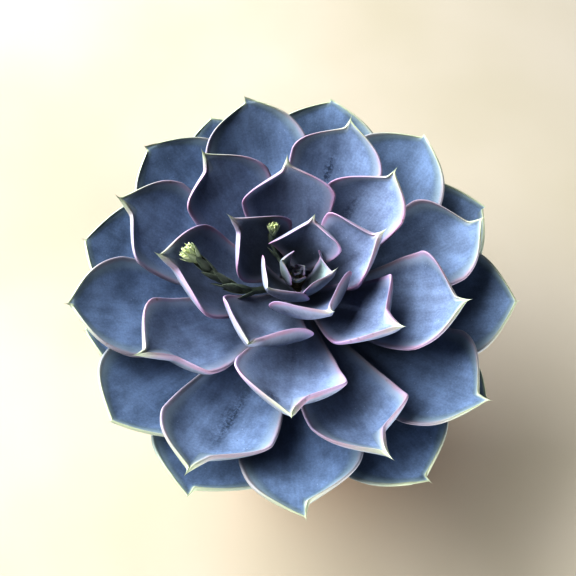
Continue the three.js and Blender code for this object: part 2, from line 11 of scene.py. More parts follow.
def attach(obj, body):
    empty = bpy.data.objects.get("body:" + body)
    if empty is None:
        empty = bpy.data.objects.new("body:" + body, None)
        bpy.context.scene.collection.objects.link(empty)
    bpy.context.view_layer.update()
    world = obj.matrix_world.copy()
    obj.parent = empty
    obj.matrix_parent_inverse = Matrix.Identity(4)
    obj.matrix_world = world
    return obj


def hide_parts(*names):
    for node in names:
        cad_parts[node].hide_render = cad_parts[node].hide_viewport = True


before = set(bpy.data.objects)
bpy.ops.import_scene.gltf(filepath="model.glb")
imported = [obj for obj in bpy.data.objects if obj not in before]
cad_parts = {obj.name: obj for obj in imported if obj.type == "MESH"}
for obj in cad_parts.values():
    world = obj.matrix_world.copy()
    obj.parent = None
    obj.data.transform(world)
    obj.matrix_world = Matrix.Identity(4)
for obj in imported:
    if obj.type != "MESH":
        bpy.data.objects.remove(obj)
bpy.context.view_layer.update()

# Lengths below are in millimetres, and the meshes are in metres
MM = 0.001
GROWING_POINT_Z = 128

# The photograph: how the camera stands to the growing point, and where that shows in the frame
FRAME_PX = 576
FOCAL_PX = 777
GROWING_POINT_PX = (296.8, 276.6)
LOOK_DOWN_DEG = 66
CAMERA_ROLL_DEG = -9
CAMERA_DISTANCE = 255.5
SENSOR = 36

# Light, in metres: a large soft window at the picture's left, a low pale card opposite it that
# lifts the shadow on the floor, the dim room, and how dark the view shows the middle tones
WINDOW_AIM = (0, 0, 0.1)
WINDOW_DIRECTION = (-0.79, 0.26, 0.62)
WINDOW_DISTANCE = 1.4
WINDOW_SIZE = (1.8, 1.4)
WINDOW_POWER = 77.0
WINDOW_COLOUR = (1.0, 0.988, 0.972)
CARD_PLACE = (0.42, -0.38, 0.11)
CARD_AIM = (0.1, -0.1, 0.0)
CARD_SIZE = (0.5, 0.16)
CARD_POWER = 5.0
ROOM_COLOUR = (0.88, 0.94, 1.0)
ROOM_STRENGTH = 0.045
BACKDROP_COLOUR = (0.78, 0.77, 0.74)
TONE_GAMMA = 0.6
FLOOR_REACH = 1.5
FLOOR_STEPS = 12

# Leaves in their spiral, counted from the heart (0) outwards
LEAF_COUNT = 37
HEART_LEAVES = (-1, -2, -3, -4, -5)
FIRST_LEAF_DEG = 130.5
LEAF_TURN_DEG = -138
LEAF_PITCH = 0.96
LEAF_RINGS = 84
LEAF_SIDES = 64
HEART_RINGS = 36
HEART_SIDES = 28
RING_CROWDING = 1.35

# Reach of a leaf's tip from the stem
HEART_REACH = 3
OPEN_REACH = 78
OPEN_ORDER = 30
OLD_DRAWN_IN = 0.5
BUDDING_REACH = 5

# A leaf's shape along its length
BASE_SHARE = 0.3
SWELL_POWER = 1.25
POINT_POWER = 1.8
POINT_EASE = 0.12
LEAVING_PULL = 0.4
ARRIVING_PULL = 0.28
UPRIGHT_BASE = 0.14

# A leaf's shape across
SECTION_POWER = 2.4
THICK_AT_MOST = 0.9
CUP_POWER = 2.1
FOLD_LINE = 0.35
FOLD_FROM = 0.4
FOLD_FULL = 0.85
NO_FOLD = 0.01
SKEW_FROM = 0.19
SKEW_FULL = 0.71
HOOK_POWER = 4

# Fine relief. A wave has its strength, its turns along the leaf and across it, and a run has the
# shares of the length where it starts, is full, ebbs and ends
LEAF_SEED = 100
MARGIN_WAVE = 0.28
MARGIN_WAVES = [(1, 17, 2), (0.6, 31, -3)]
FACE_WAVE = 0.2
FACE_WAVES = [(1, 9, 4), (0.7, 14, -6)]
WAVY_RUN = (0.1, 0.35, 0.85, 1)
BEAD_HEIGHT = 0.42
BEAD_INSET = 0.75
BEAD_WIDTH = 0.55
BEAD_ON_TOP = 0.3
BEAD_RUN = (0.25, 0.5, 0.9, 1)

# Marks that the leaf's material reads
UNDERSIDE_INSET = 2.4
UNDERSIDE_FROM = -0.25
LEAF_APART = 40
FACES_APART = 12
BLUSH_AT_HEART = 1.3
BLUSH_LOST = 1.35
BLUSH_LEAST = 0.1
BLUSH_SPREAD = 0.3
BLUSH_ENDS = (0.8, 0.95)
SMALL_LEAF_RIM = 0.55

# How the leaves change with their order, as in the solids
TIP_HEIGHT = [(-3, 4.5), (-1, 5.5), (0, 12.5), (3, 16.5), (6, 18.5), (10, 17), (14, 12), (18, 6),
              (22, 0.5), (26, -5), (30, -11), (36, -20)]
BASE_RADIUS = [(-3, 0.3), (-1, 1), (0, 2.6), (6, 5.4), (36, 8)]
HALF_WIDTH = [(-3, 1.8), (-1, 3.2), (0, 6.5), (2, 10.5), (4, 13.5), (8, 16), (12, 17), (16, 16.5),
              (20, 18.5), (28, 20.5), (36, 21)]
HALF_THICKNESS = [(-3, 0.5), (0, 0.8), (6, 1.6), (14, 2.1), (36, 2.2)]
CUP = [(4, 0.75), (6, 0.6), (8, 0.48), (12, 0.42), (20, 0.36), (28, 0.24), (36, 0.18)]
BEND_AT_BASE = [(0, 20), (6, 30), (14, 30), (28, 24), (36, 20)]
BEND_AT_TIP = [(0, 15), (4, 24), (8, 28), (20, 28), (36, 24)]
WIDEST_AT = [(0, 0.46), (4, 0.52), (8, 0.6), (14, 0.68), (20, 0.7), (26, 0.66), (36, 0.62)]
LEFT_BLADE_END = [(0, 0.85), (8, 0.64), (20, 0.66), (24, 0.85), (28, 0.92), (36, 0.92)]
RIGHT_BLADE_END = [(0, 0.85), (12, 0.85), (20, 0.9), (36, 0.92)]
SHOULDER_POWER = [(0, 2.8), (12, 3), (20, 3), (26, 2.8), (36, 2.8)]
SHOULDER_FALL = [(0, 1.5), (18, 1.5), (22, 1.05), (36, 0.95)]
POINT_WIDTH = [(0, 0.6), (20, 0.58), (26, 0.48), (36, 0.48)]
LEFT_FOLD = [(2, 0), (4, 30), (9, 30), (12, 20), (20, 10), (26, 0), (36, 0)]
CUP_RUN = [(0, 0.35), (0.35, 0.6), (0.7, 1), (1, 1)]
THICKNESS_RUN = [(0, 0.62), (0.2, 0.8), (0.5, 1), (0.8, 0.8), (0.93, 0.45), (1, 0.06)]

# Where a leaf strays from the rule, as in the solids
OWN_WAY = {
    0: dict(turn=54, reach=2.4, wider=-0.5),
    1: dict(turn=-12, reach=4, wider=1, hook=4, skew=-0.6, left_end=-0.1, right_end=-0.1,
            widest=-0.06),
    2: dict(turn=20, reach=2),
    3: dict(turn=7, reach=-1.5, skew=-0.3, left_wider=-0.5, hook=-1, left_end=-0.15,
            right_end=-0.2),
    4: dict(turn=3, reach=-0.5, hook=2.5, wider=1, left_wider=-0.5, left_end=-0.2,
            right_end=-0.1, fold=20, cup=-0.05),
    5: dict(turn=-8, reach=1, hook=3, skew=0.15, right_wider=-1, left_end=-0.2, right_end=-0.08,
            widest=-0.16),
    6: dict(turn=5, reach=-1, left_wider=0.5, right_wider=-2.5, left_end=-0.05, right_end=-0.12,
            widest=-0.1),
    7: dict(turn=6, skew=-0.15, fold=60, left_wider=-0.5, left_end=-0.15, widest=-0.06),
    8: dict(turn=-1.5, reach=-1.5, right_wider=-0.8, fold=-25, left_end=-0.05, right_end=-0.15,
            widest=0.02),
    9: dict(turn=4, reach=-2, skew=0.15, fold=10, left_wider=-1, right_wider=-3, left_end=-0.33,
            right_end=-0.08, widest=-0.06),
    10: dict(turn=-2, reach=0.5, fold=-15, left_wider=0.5, right_wider=-1.5, left_end=-0.12,
             widest=-0.08),
    11: dict(turn=2, reach=-1, skew=-0.2, fold=-10, left_wider=-2, right_wider=-3, left_end=0.05),
    12: dict(turn=1, skew=0.2, fold=-5, left_wider=-0.5, right_wider=1, left_end=-0.33),
    13: dict(turn=1, reach=-2, skew=0.1, fold=-10, left_wider=-1, right_wider=-0.7,
             left_end=-0.14),
    14: dict(turn=-2, reach=-1, skew=-0.1, fold=-5, right_wider=2),
    15: dict(skew=-0.15, fold=10, left_wider=-1.5, left_end=-0.4, right_wider=-1, right_end=-0.2,
             widest=-0.02),
    16: dict(turn=-2, fold=-25, left_end=0.05),
    17: dict(turn=-3.5, reach=3.5, hook=2.4, skew=0.1, wider=-1, fold=15, left_end=-0.33,
             right_end=-0.15, widest=-0.02),
    18: dict(turn=-1, right_wider=-1, left_end=-0.13),
    19: dict(turn=-1, skew=-0.12, left_wider=-2),
    20: dict(turn=1, reach=4, skew=-0.17, fold=-5, right_wider=-1.5, left_end=-0.22,
             right_end=-0.1),
    21: dict(turn=1, reach=1.5, fold=-15, left_end=0.15, right_end=0.07),
    22: dict(reach=1, left_wider=-1, right_wider=1, left_end=-0.05),
    23: dict(reach=2, left_wider=-1, right_wider=-1.5, left_end=0.05),
    24: dict(turn=1.5, reach=1, left_wider=0.7, right_wider=2, left_end=0.05, right_end=0.06),
    25: dict(reach=1.5, skew=-0.08, left_end=-0.22),
    26: dict(turn=2, reach=-1, left_wider=-1, right_wider=4, right_end=0.05),
    27: dict(turn=1, left_wider=2.5, right_wider=0.5),
    28: dict(turn=1, reach=-2, skew=-0.25, left_wider=0.5, right_wider=1.5),
    29: dict(reach=2.5, left_wider=2.5, right_wider=4, right_end=0.06),
    30: dict(turn=1.5, left_wider=1.5, right_wider=1, left_end=-0.1),
    31: dict(turn=2, reach=-0.5, left_wider=-1.5, right_wider=5),
    32: dict(turn=1, reach=3, left_wider=4.5, left_end=0.05),
    33: dict(turn=-4, reach=1, wider=1.5, skew=-0.1, left_wider=3, right_wider=0.5,
             left_end=-0.15),
    34: dict(turn=3, reach=6),
    35: dict(wider=-4),
    36: dict(turn=-4, reach=-1),
}
STRAIGHT = dict(turn=0, reach=0, hook=0, wider=0, left_wider=0, right_wider=0, left_end=0,
                right_end=0, widest=0, fold=0, skew=0, cup=0)

# Rubbed streaks in the powder: leaf, share of its length and of its half-width, their sizes there,
# and how hard they are rubbed
RUBS = [
    (12, 0.40, 0.06, 0.17, 0.045, 1.6),
    (12, 0.80, -0.45, 0.05, 0.12, 0.8),
    (20, 0.55, 0.1, 0.18, 0.10, 0.8),
    (16, 0.62, 0.15, 0.10, 0.06, 0.8),
    (11, 0.50, 0.30, 0.16, 0.07, 0.8),
    (9, 0.86, -0.35, 0.08, 0.12, 0.8),
    (28, 0.55, 0.2, 0.14, 0.10, 0.8),
]

# Flower stalks, as in the solids
STALKS = [
    dict(name="left", bracts=13, size=1.05, head=1.2,
         path=[(-4.7, -2.9, -2.7), (-9, -5.5, -1.1), (-15, -8.4, 1.9), (-23, -7.8, 5.5),
               (-31.2, -4.8, 11.6)]),
    dict(name="right", bracts=5, size=0.7, head=0.8,
         path=[(-4.5, 3, -0.3), (-7.5, 6, 1.1), (-9.4, 8.7, 3.4), (-9.8, 10.6, 6.7)]),
]
PATH_STEPS = 40
STALK_STEPS = 60
STALK_SIDES = 18
STALK_RADIUS = 1.05
STALK_THINS = (1.08, 0.85)
STALK_TINT = 0.2
BRACT_ROOT = 0.7
BRACT_LENGTH = 7.2
BRACT_HALF_WIDTH = 1.45
BRACT_HALF_THICKNESS = 0.42
BRACT_BEND = -0.06
BRACTS_FROM = 0.3
BRACTS_TO = 0.9
BRACT_SPREAD_DEG = 15
BUD_CORE_RADIUS = 1.7
CORE_BACK = 2.4
CORE_LENGTH = 4.4
CORE_HALF_WIDTH = 1.5
BUD_LENGTH = 3.4
BUD_RADIUS = 1.0
BUD_ROOT = 0.3
INNER_BUDS = 9
BUD_FAN_DEG = 52
OUTER_BRACTS = 17
OUTER_TILT_DEG = 12
OUTER_TILT_MORE_DEG = 30
OUTER_RING = 1.15
OUTER_DROP = 0.2
OUTER_DROP_MORE = 1.3
OUTER_LONGER = 0.5
OUTER_HALF_WIDTH = 0.95
OUTER_HALF_THICKNESS = 0.3
OUTER_BEND = -0.2
GOLDEN_TURN = math.pi * (3 - math.sqrt(5))

# Soil, stem and pot, as in the solids
SEAT_GAP = 0.3
POT_HEIGHT = 88
POT_FOOT_RADIUS = 35
POT_BODY_TOP_RADIUS = 46
COLLAR_HEIGHT = 19
COLLAR_LOW_RADIUS = 49
COLLAR_TOP_RADIUS = 51
POT_WALL = 5
POT_FLOOR = 6
EDGE_ROUND = 2
THROWN_DEPTH = 0.06
POT_SIDES = 160
DRAIN_HOLES = 3
DRAIN_RADIUS = 4
DRAIN_RING_RADIUS = 17
DRILL_SIDES = 40
SOIL_BELOW_RIM = 8
SOIL_CROWN = 3
SOIL_RINGS = 40
SOIL_SIDES = 120
STEM_IN_SOIL = 24
STEM_ROOT_RADIUS = 7
STEM_FOOT_RADIUS = 4.2
STEM_FOOT_TAPER = 5
STEM_RINGS = 70
STEM_SIDES = 96
SCAR_DEPTH = 0.05
SOIL_SEED = 7
GRAINS = 1500
GRAIN_LEAST = 0.25
GRAIN_MOST = 1.5
GRAINS_FROM_HOLE = 1.2
GRAINS_CLEAR = 3


def along(points, x):
    """Value at x on straight runs between (place, value) points, level past both ends."""
    places, values = zip(*points)
    return np.interp(x, places, values)


def smooth(low, high, x):
    """Smooth step: 0 below low, 1 above high, and 3s^2 - 2s^3 of the share s between."""
    share = np.clip((x - low) / (high - low), 0, 1)
    return share * share * (3 - 2 * share)


def signed_power(x, power):
    """|x| to a power, with the sign of x."""
    return np.sign(x) * np.abs(x) ** power


def unit(vectors):
    """Vectors along the last axis, each brought to length 1."""
    return vectors / np.linalg.norm(vectors, axis=-1, keepdims=True)


def ring_skin(rings, start, end, **marks):
    """A closed skin over a (rings, sides, 3) array of points in millimetres: quads between
    neighbouring rings, and fans from the first ring to start and from the last to end. A mark is
    one value, or values for the ring points, and a fan's centre takes the mean of its ring's."""
    count, sides = rings.shape[:2]
    first = np.arange(count - 1)[:, None] * sides
    side = np.arange(sides)[None, :]
    beside = (side + 1) % sides
    quads = np.stack([first + side, first + beside, first + sides + beside,
                      first + sides + side], -1)
    low, high = count * sides, count * sides + 1
    last = (count - 1) * sides
    under = np.stack([beside[0], side[0], np.full(sides, low)], -1)
    over = np.stack([last + side[0], last + beside[0], np.full(sides, high)], -1)
    values = {}
    for name, value in marks.items():
        value = np.asarray(value, float)
        value = np.broadcast_to(value, rings.shape[:2] + value.shape[2:])
        ends = [value[0].mean(0, keepdims=True), value[-1].mean(0, keepdims=True)]
        values[name] = np.concatenate([value.reshape(count * sides, *value.shape[2:]), *ends])
    points = np.concatenate([rings.reshape(-1, 3), [start], [end]])
    return SimpleNamespace(points=points, quads=quads.reshape(-1, 4),
                           tris=np.concatenate([under, over]), marks=values)


def joined(skins):
    """Several skins as one, each with its indices moved past those before it."""
    offsets = np.cumsum([0] + [len(skin.points) for skin in skins[:-1]])
    return SimpleNamespace(
        points=np.concatenate([skin.points for skin in skins]),
        quads=np.concatenate([skin.quads + move for skin, move in zip(skins, offsets)]),
        tris=np.concatenate([skin.tris + move for skin, move in zip(skins, offsets)]),
        marks={name: np.concatenate([skin.marks[name] for skin in skins])
               for name in skins[0].marks})


def piece(name, skin, material, slot, *nodes):
    """Puts a skin into a smooth mesh object that rides on the plant and stands for its solids."""
    mesh = bpy.data.meshes.new(name)
    corners = np.concatenate([skin.quads.ravel(), skin.tris.ravel()])
    sizes = np.concatenate([np.full(len(skin.quads), 4), np.full(len(skin.tris), 3)])
    mesh.vertices.add(len(skin.points))
    mesh.vertices.foreach_set("co", (skin.points * MM).ravel())
    mesh.loops.add(len(corners))
    mesh.loops.foreach_set("vertex_index", corners)
    mesh.polygons.add(len(sizes))
    mesh.polygons.foreach_set("loop_start", np.concatenate([[0], np.cumsum(sizes)[:-1]]))
    mesh.update(calc_edges=True)
    mesh.validate()
    mesh.shade_smooth()
    for mark, values in skin.marks.items():
        kind, field = ("FLOAT_VECTOR", "vector") if values.ndim == 2 else ("FLOAT", "value")
        mesh.attributes.new(mark, kind, "POINT").data.foreach_set(field, values.ravel())
    made = bpy.data.objects.new(name, mesh)
    bpy.context.scene.collection.objects.link(made)
    mesh.materials.append(material)
    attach(made, "root")
    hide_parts(*nodes)
    return made


def leaf_form(order):
    """Everything that sets one leaf's form, from the rule and the leaf's own way."""
    own = SimpleNamespace(**{**STRAIGHT, **OWN_WAY.get(order, {})})
    openness = 1 - (1 - min(max(order / OPEN_ORDER, 0), 1)) ** 2
    open_reach = HEART_REACH + (OPEN_REACH - HEART_REACH) * openness
    if order < 0:
        open_reach = BUDDING_REACH + order
    return SimpleNamespace(
        order=order,
        azimuth=math.radians(FIRST_LEAF_DEG + LEAF_TURN_DEG * order + own.turn),
        reach=open_reach - OLD_DRAWN_IN * max(0, order - OPEN_ORDER) + own.reach,
        tip_z=along(TIP_HEIGHT, order),
        base_z=-LEAF_PITCH * order,
        base_radius=along(BASE_RADIUS, order),
        half_width=along(HALF_WIDTH, order) + own.wider,
        half_thickness=along(HALF_THICKNESS, order),
        cup=along(CUP, order) + own.cup,
        bend_at_base=math.radians(along(BEND_AT_BASE, order)),
        bend_at_tip=math.radians(along(BEND_AT_TIP, order)),
        widest_at=along(WIDEST_AT, order) + own.widest,
        shoulder_power=along(SHOULDER_POWER, order),
        shoulder_fall=along(SHOULDER_FALL, order),
        point_width=along(POINT_WIDTH, order),
        blade_ends=(along(LEFT_BLADE_END, order) + own.left_end,
                    along(RIGHT_BLADE_END, order) + own.right_end),
        widenings=(own.left_wider, own.right_wider),
        fold=math.radians(max(0, along(LEFT_FOLD, order) + own.fold)),
        skew=own.skew,
        hook=own.hook,
    )


def width_share(form, t, blade_end):
    """Half-width at a share t of a leaf's length: a sine swell up to the widest place, then the
    hypotenuse of a shoulder that falls off as 1 - s^p and a narrow point that runs to the tip and
    leaves the widest place level, so that the margin has no corner there."""
    swell = np.sin(math.pi / 2 * np.minimum(t / form.widest_at, 1)) ** SWELL_POWER
    s = np.clip((t - form.widest_at) / (1 - form.widest_at), 0, 1)
    shoulder = np.maximum(0, 1 - (s / blade_end) ** form.shoulder_power) ** form.shoulder_fall
    eased = s - POINT_EASE * s * (1 - s) / (s + POINT_EASE)
    point = form.point_width * (1 - eased) ** POINT_POWER
    past = np.hypot(shoulder, point) / math.hypot(1, form.point_width)
    return np.where(t < form.widest_at, BASE_SHARE + (1 - BASE_SHARE) * swell, past)


def middle_line(form, t):
    """A leaf's middle line in its own upright plane and its direction there: a cubic Bezier from
    base to tip that leaves below the straight line between them and arrives above it."""
    base = np.array([form.base_radius, form.base_z])
    tip = np.array([form.reach, form.tip_z])
    chord = math.hypot(*(tip - base))
    slope = math.atan2(tip[1] - base[1], tip[0] - base[0])
    first, last = slope - form.bend_at_base, slope + form.bend_at_tip
    leaving = base + LEAVING_PULL * chord * np.array([math.cos(first), math.sin(first)])
    arriving = tip - ARRIVING_PULL * chord * np.array([math.cos(last), math.sin(last)])
    t = t[:, None]
    line = ((1 - t) ** 3 * base + 3 * (1 - t) ** 2 * t * leaving + 3 * (1 - t) * t**2 * arriving
            + t**3 * tip)
    run = ((1 - t) ** 2 * (leaving - base) + 2 * (1 - t) * t * (arriving - leaving)
           + t**2 * (tip - arriving))
    return line, unit(run)


def folded_section(u, fold):
    """Place across, rise and turn of a share u of the half-width when the left margin is folded:
    flat up to the fold line, then along an arc that has turned by the whole fold at the margin."""
    past = np.maximum(u - FOLD_LINE, 0)
    fold = np.maximum(fold, NO_FOLD)
    radius = (1 - FOLD_LINE) / fold
    turned = past / radius
    across = np.where(past > 0, FOLD_LINE + radius * np.sin(turned), u)
    return across, radius * (1 - np.cos(turned)), turned


def rubbed(form, t, u):
    """Share of the powder rubbed off at (t, u): a soft oval spot for each rub on this leaf."""
    worn = np.zeros(np.broadcast_shapes(t.shape, u.shape))
    for order, at_t, at_u, long, wide, share in RUBS:
        if order == form.order:
            spot = np.exp(-(((t - at_t) / long) ** 2 + ((u - at_u) / wide) ** 2))
            worn = np.maximum(worn, share * spot)
    return worn


def ripples(kinds, phases, t, u):
    """Sum of sine waves over (t, u), each with its own strength, turns and phase."""
    return sum(strength * np.sin(lengthwise * t + crosswise * u + phase)
               for (strength, lengthwise, crosswise), phase in zip(kinds, phases))


def rise_and_fall(run, t):
    """1 in the middle of a run along the leaf and 0 outside it, with smooth steps between."""
    start, full, ebb, end = run
    return smooth(start, full, t) * (1 - smooth(ebb, end, t))


def leaf_relief(form, t, u, v, inset, size):
    """Waves, as seeded ripples times u^4 at the margin and times 1 - u^2 on the face, and a low
    bead, as exp(-x^2) of the distance inside the margin, on the upper side."""
    phases = np.random.default_rng(LEAF_SEED + form.order).uniform(0, 2 * math.pi, 4)
    margin = ripples(MARGIN_WAVES, phases[:2], t, u) * u**4
    face = ripples(FACE_WAVES, phases[2:], t, u) * (1 - u**2)
    waves = size * rise_and_fall(WAVY_RUN, t) * (MARGIN_WAVE * margin + FACE_WAVE * face)
    bead = BEAD_HEIGHT * np.exp(-(((inset / size - BEAD_INSET) / BEAD_WIDTH) ** 2))
    return waves, bead * smooth(0, BEAD_ON_TOP, v) * size * rise_and_fall(BEAD_RUN, t)


def leaf_marks(form, t, u, v, half, inset, size):
    """What the material reads: the place on the leaf laid flat, the distance inside the rim, the
    underside, the share of the length, the leaf's age, its rim's blush and the rubbed spots."""
    length = math.hypot(form.reach - form.base_radius, form.tip_z - form.base_z)
    apart = np.full(half.shape, LEAF_APART * form.order) + FACES_APART * (v < 0)
    rim_size = SMALL_LEAF_RIM + (1 - SMALL_LEAF_RIM) * size
    age = max(form.order, 0) / (LEAF_COUNT - 1)
    shoulder = np.exp(-(((t - form.widest_at) / BLUSH_SPREAD) ** 2))
    blush = np.clip(BLUSH_AT_HEART - BLUSH_LOST * age, BLUSH_LEAST, 1) * (0.4 + 0.6 * shoulder)
    return dict(leaf_place=np.stack([np.broadcast_to(t * length, half.shape), half * u, apart], -1),
                rim=(inset + UNDERSIDE_INSET * np.maximum(0, -v)) / rim_size,
                under=v < UNDERSIDE_FROM, run=t, age=age,
                blush=blush * (1 - smooth(*BLUSH_ENDS, t)), rub=rubbed(form, t, u))


def leaf_skin(order, count, sides):
    """A whole leaf as one closed skin. Rings of a flattened oval follow the middle line, crowded
    towards the tip: u runs across from margin to margin and v from the underside to the upper
    side. Both margins rise as |u|^p, the left one is folded, and the relief lies on top."""
    form = leaf_form(order)
    t = 1 - (1 - np.arange(count) / count) ** RING_CROWDING
    angle = 2 * math.pi * np.arange(sides) / sides
    u = signed_power(np.cos(angle), 2 / SECTION_POWER)[None, :]
    v = signed_power(np.sin(angle), 2 / SECTION_POWER)[None, :]
    line, run = middle_line(form, t)
    upright = (1 - smooth(0, UPRIGHT_BASE, t))[:, None]
    rise = np.stack([-run[:, 1], run[:, 0]], -1) * (1 - upright) + np.array([0, 1]) * upright
    rise = unit(rise)
    left, right = ((form.half_width + wider) * width_share(form, t, blade_end)
                   for wider, blade_end in zip(form.widenings, form.blade_ends))
    half = np.where(u > 0, left[:, None], right[:, None])
    thin = THICK_AT_MOST * np.minimum(left, right)
    thick = np.minimum(form.half_thickness * along(THICKNESS_RUN, t), thin)[:, None]
    cup = (form.cup * along(CUP_RUN, t))[:, None]
    t = t[:, None]
    across, up, lean = folded_section(u, form.fold * smooth(FOLD_FROM, FOLD_FULL, t))
    size = form.half_width / HALF_WIDTH[-1][1]
    inset = half * (1 - np.abs(u))
    waves, bead = leaf_relief(form, t, u, v, inset, size)
    lift = cup * half * np.abs(u) ** CUP_POWER + half * up
    lift = lift + (thick * v + bead) * np.cos(lean) + waves
    shift = half * across - thick * v * np.sin(lean) + form.hook * t**HOOK_POWER
    forward = form.skew * smooth(SKEW_FROM, SKEW_FULL, t) * half * u
    flat = line[:, None] + rise[:, None] * lift[..., None] + run[:, None] * forward[..., None]
    outward = np.array([math.cos(form.azimuth), math.sin(form.azimuth), 0])
    sideways = np.array([-outward[1], outward[0], 0])
    upward = np.array([0, 0, 1])
    rings = flat[..., :1] * outward + flat[..., 1:] * upward + shift[..., None] * sideways
    tip = form.reach * outward + form.tip_z * upward + form.hook * sideways
    raised = GROWING_POINT_Z * upward
    return ring_skin(rings + raised, rings[0].mean(0) + raised, tip + raised,
                     **leaf_marks(form, t, u, v, half, inset, size))


def heart_skin():
    """The youngest leaves, standing close round the growing point."""
    return joined([leaf_skin(order, HEART_RINGS, HEART_SIDES) for order in HEART_LEAVES])


def smooth_path(points, count):
    """A curve through points, as count places evenly spaced along it: a centripetal Catmull-Rom
    curve, whose end points are mirrored outwards, sampled finely and measured again by length."""
    points = np.array(points, float)
    padded = np.vstack([2 * points[0] - points[1], points, 2 * points[-1] - points[-2]])
    share = np.linspace(0, 1, PATH_STEPS, endpoint=False)[:, None]
    fine = []
    for a, b, c, d in zip(padded, padded[1:], padded[2:], padded[3:]):
        ab, bc, cd = (math.sqrt(math.dist(*pair)) for pair in ((a, b), (b, c), (c, d)))
        out = ((b - a) / ab - (c - a) / (ab + bc) + (c - b) / bc) * bc
        into = ((c - b) / bc - (d - b) / (bc + cd) + (d - c) / cd) * bc
        fine.append(b + out * share + (3 * (c - b) - 2 * out - into) * share**2
                    + (2 * (b - c) + out + into) * share**3)
    fine = np.vstack([*fine, points[-1:]])
    length = np.concatenate([[0], np.cumsum(np.linalg.norm(np.diff(fine, axis=0), axis=1))])
    even = np.linspace(0, length[-1], count)
    return np.stack([np.interp(even, length, fine[:, axis]) for axis in range(3)], -1)


def square_to(direction):
    """Two directions square to the given ones, the first of them level."""
    level = unit(np.cross([0, 0, 1], direction))
    return level, np.cross(direction, level)


def towards(first, second, turn):
    """A direction turned by an angle from a first one towards a second one square to it."""
    return first * math.cos(turn) + second * math.sin(turn)


def tube_skin(line, radius, sides, tint):
    """A round tube along a line of points, with radii at its points and blunt ends."""
    level, upper = square_to(unit(np.gradient(line, axis=0)))
    angle = (2 * math.pi * np.arange(sides) / sides)[None, :, None]
    ring = level[:, None] * np.cos(angle) + upper[:, None] * np.sin(angle)
    rings = line[:, None] + ring * radius[:, None, None]
    return ring_skin(rings, line[0], line[-1], tint=tint, margin=0)


def spindle_skin(start, direction, flat, length, half_width, half_thickness, bend, tint,
                 sides=14, count=12):
    """A small pointed blade or bud from a start along a direction: its width swells to a third of
    its length and falls as 1 - s^2.4 to the point, its middle bends towards flat as s^2, and a
    blade's margins fall a little as cos^2 of the way round."""
    across = np.cross(flat, direction)
    s = (np.arange(count) / count)[:, None, None]
    width = (0.6 + 0.4 * np.sin(math.pi / 2 * np.minimum(s / 0.35, 1))) * (1 - s**2.4)
    angle = (2 * math.pi * np.arange(sides) / sides)[None, :, None]
    middle = start + direction * length * s + flat * bend * length * s**2
    fall = 0.35 * half_width if half_width > 1.5 * half_thickness else 0
    rise = half_thickness * np.sin(angle) - fall * np.cos(angle) ** 2
    rings = middle + across * half_width * width * np.cos(angle) + flat * rise * width
    end = start + direction * length + flat * bend * length
    margin = np.abs(np.cos(angle[..., 0])) ** 3 * (0.4 + 0.6 * s[..., 0])
    return ring_skin(rings, rings[0].mean(0), end, tint=tint, margin=margin)


def stalk_line(stalk):
    """The middle line of a stalk, as places along it and the way it runs at each."""
    line = smooth_path(stalk["path"], STALK_STEPS) + np.array([0, 0, GROWING_POINT_Z])
    return line, unit(np.gradient(line, axis=0))


def stalk_skin(stalk):
    """A flower stalk that thins towards its head, with long pointed bracts in a golden spiral."""
    size = stalk["size"]
    line, run = stalk_line(stalk)
    radius = STALK_RADIUS * size * np.linspace(*STALK_THINS, len(line))
    skins = [tube_skin(line, radius, STALK_SIDES, STALK_TINT)]
    spread = math.radians(BRACT_SPREAD_DEG)
    for i in range(stalk["bracts"]):
        share = BRACTS_FROM + (BRACTS_TO - BRACTS_FROM) * i / (stalk["bracts"] - 1)
        at = round(share * (len(line) - 1))
        out = towards(*square_to(run[at]), i * GOLDEN_TURN)
        lean, flat = towards(run[at], out, spread), towards(out, -run[at], spread)
        start = line[at] + out * BRACT_ROOT * STALK_RADIUS * size
        skins.append(spindle_skin(start, lean, flat, BRACT_LENGTH * size, BRACT_HALF_WIDTH * size,
                                  BRACT_HALF_THICKNESS * size, BRACT_BEND, 0.15 + 0.25 * share))
    return joined(skins)


def head_skin(stalk):
    """A young head: round buds stand out of a small core, and pointed bracts close round them,
    both in a golden spiral about the way that the stalk ends."""
    size = stalk["head"]
    line, _ = stalk_line(stalk)
    forward = unit(line[-1] - line[-3])
    level, upper = square_to(forward)
    core = line[-1] + forward * (BUD_CORE_RADIUS * size + SEAT_GAP)
    skins = []
    for i in range(INNER_BUDS):
        fan = 1 - math.cos(math.radians(BUD_FAN_DEG))
        tilt = math.acos(1 - (i + 0.5) / INNER_BUDS * fan)
        direction = towards(forward, towards(level, upper, i * GOLDEN_TURN), tilt)
        flat = np.cross(square_to(direction)[0], direction)
        skins.append(spindle_skin(core + direction * BUD_ROOT * size, direction, flat,
                                  BUD_LENGTH * size, BUD_RADIUS * size, BUD_RADIUS * size, 0,
                                  1 - 0.3 * i / INNER_BUDS))
    for i in range(OUTER_BRACTS):
        share = (i + 0.5) / OUTER_BRACTS
        side = towards(level, upper, (i + 0.5) * GOLDEN_TURN)
        tilt = math.radians(OUTER_TILT_DEG + OUTER_TILT_MORE_DEG * share)
        direction, flat = towards(forward, side, tilt), towards(side, -forward, tilt)
        start = core + (side * OUTER_RING - forward * (OUTER_DROP + OUTER_DROP_MORE * share)) * size
        skins.append(spindle_skin(start, direction, flat, (BUD_LENGTH + OUTER_LONGER) * size,
                                  OUTER_HALF_WIDTH * size, OUTER_HALF_THICKNESS * size,
                                  OUTER_BEND, 0.62 - 0.3 * share))
    skins.append(spindle_skin(core - forward * CORE_BACK * size, forward, level,
                              CORE_LENGTH * size, CORE_HALF_WIDTH * size, CORE_HALF_WIDTH * size,
                              0, 0.5))
    return joined(skins)


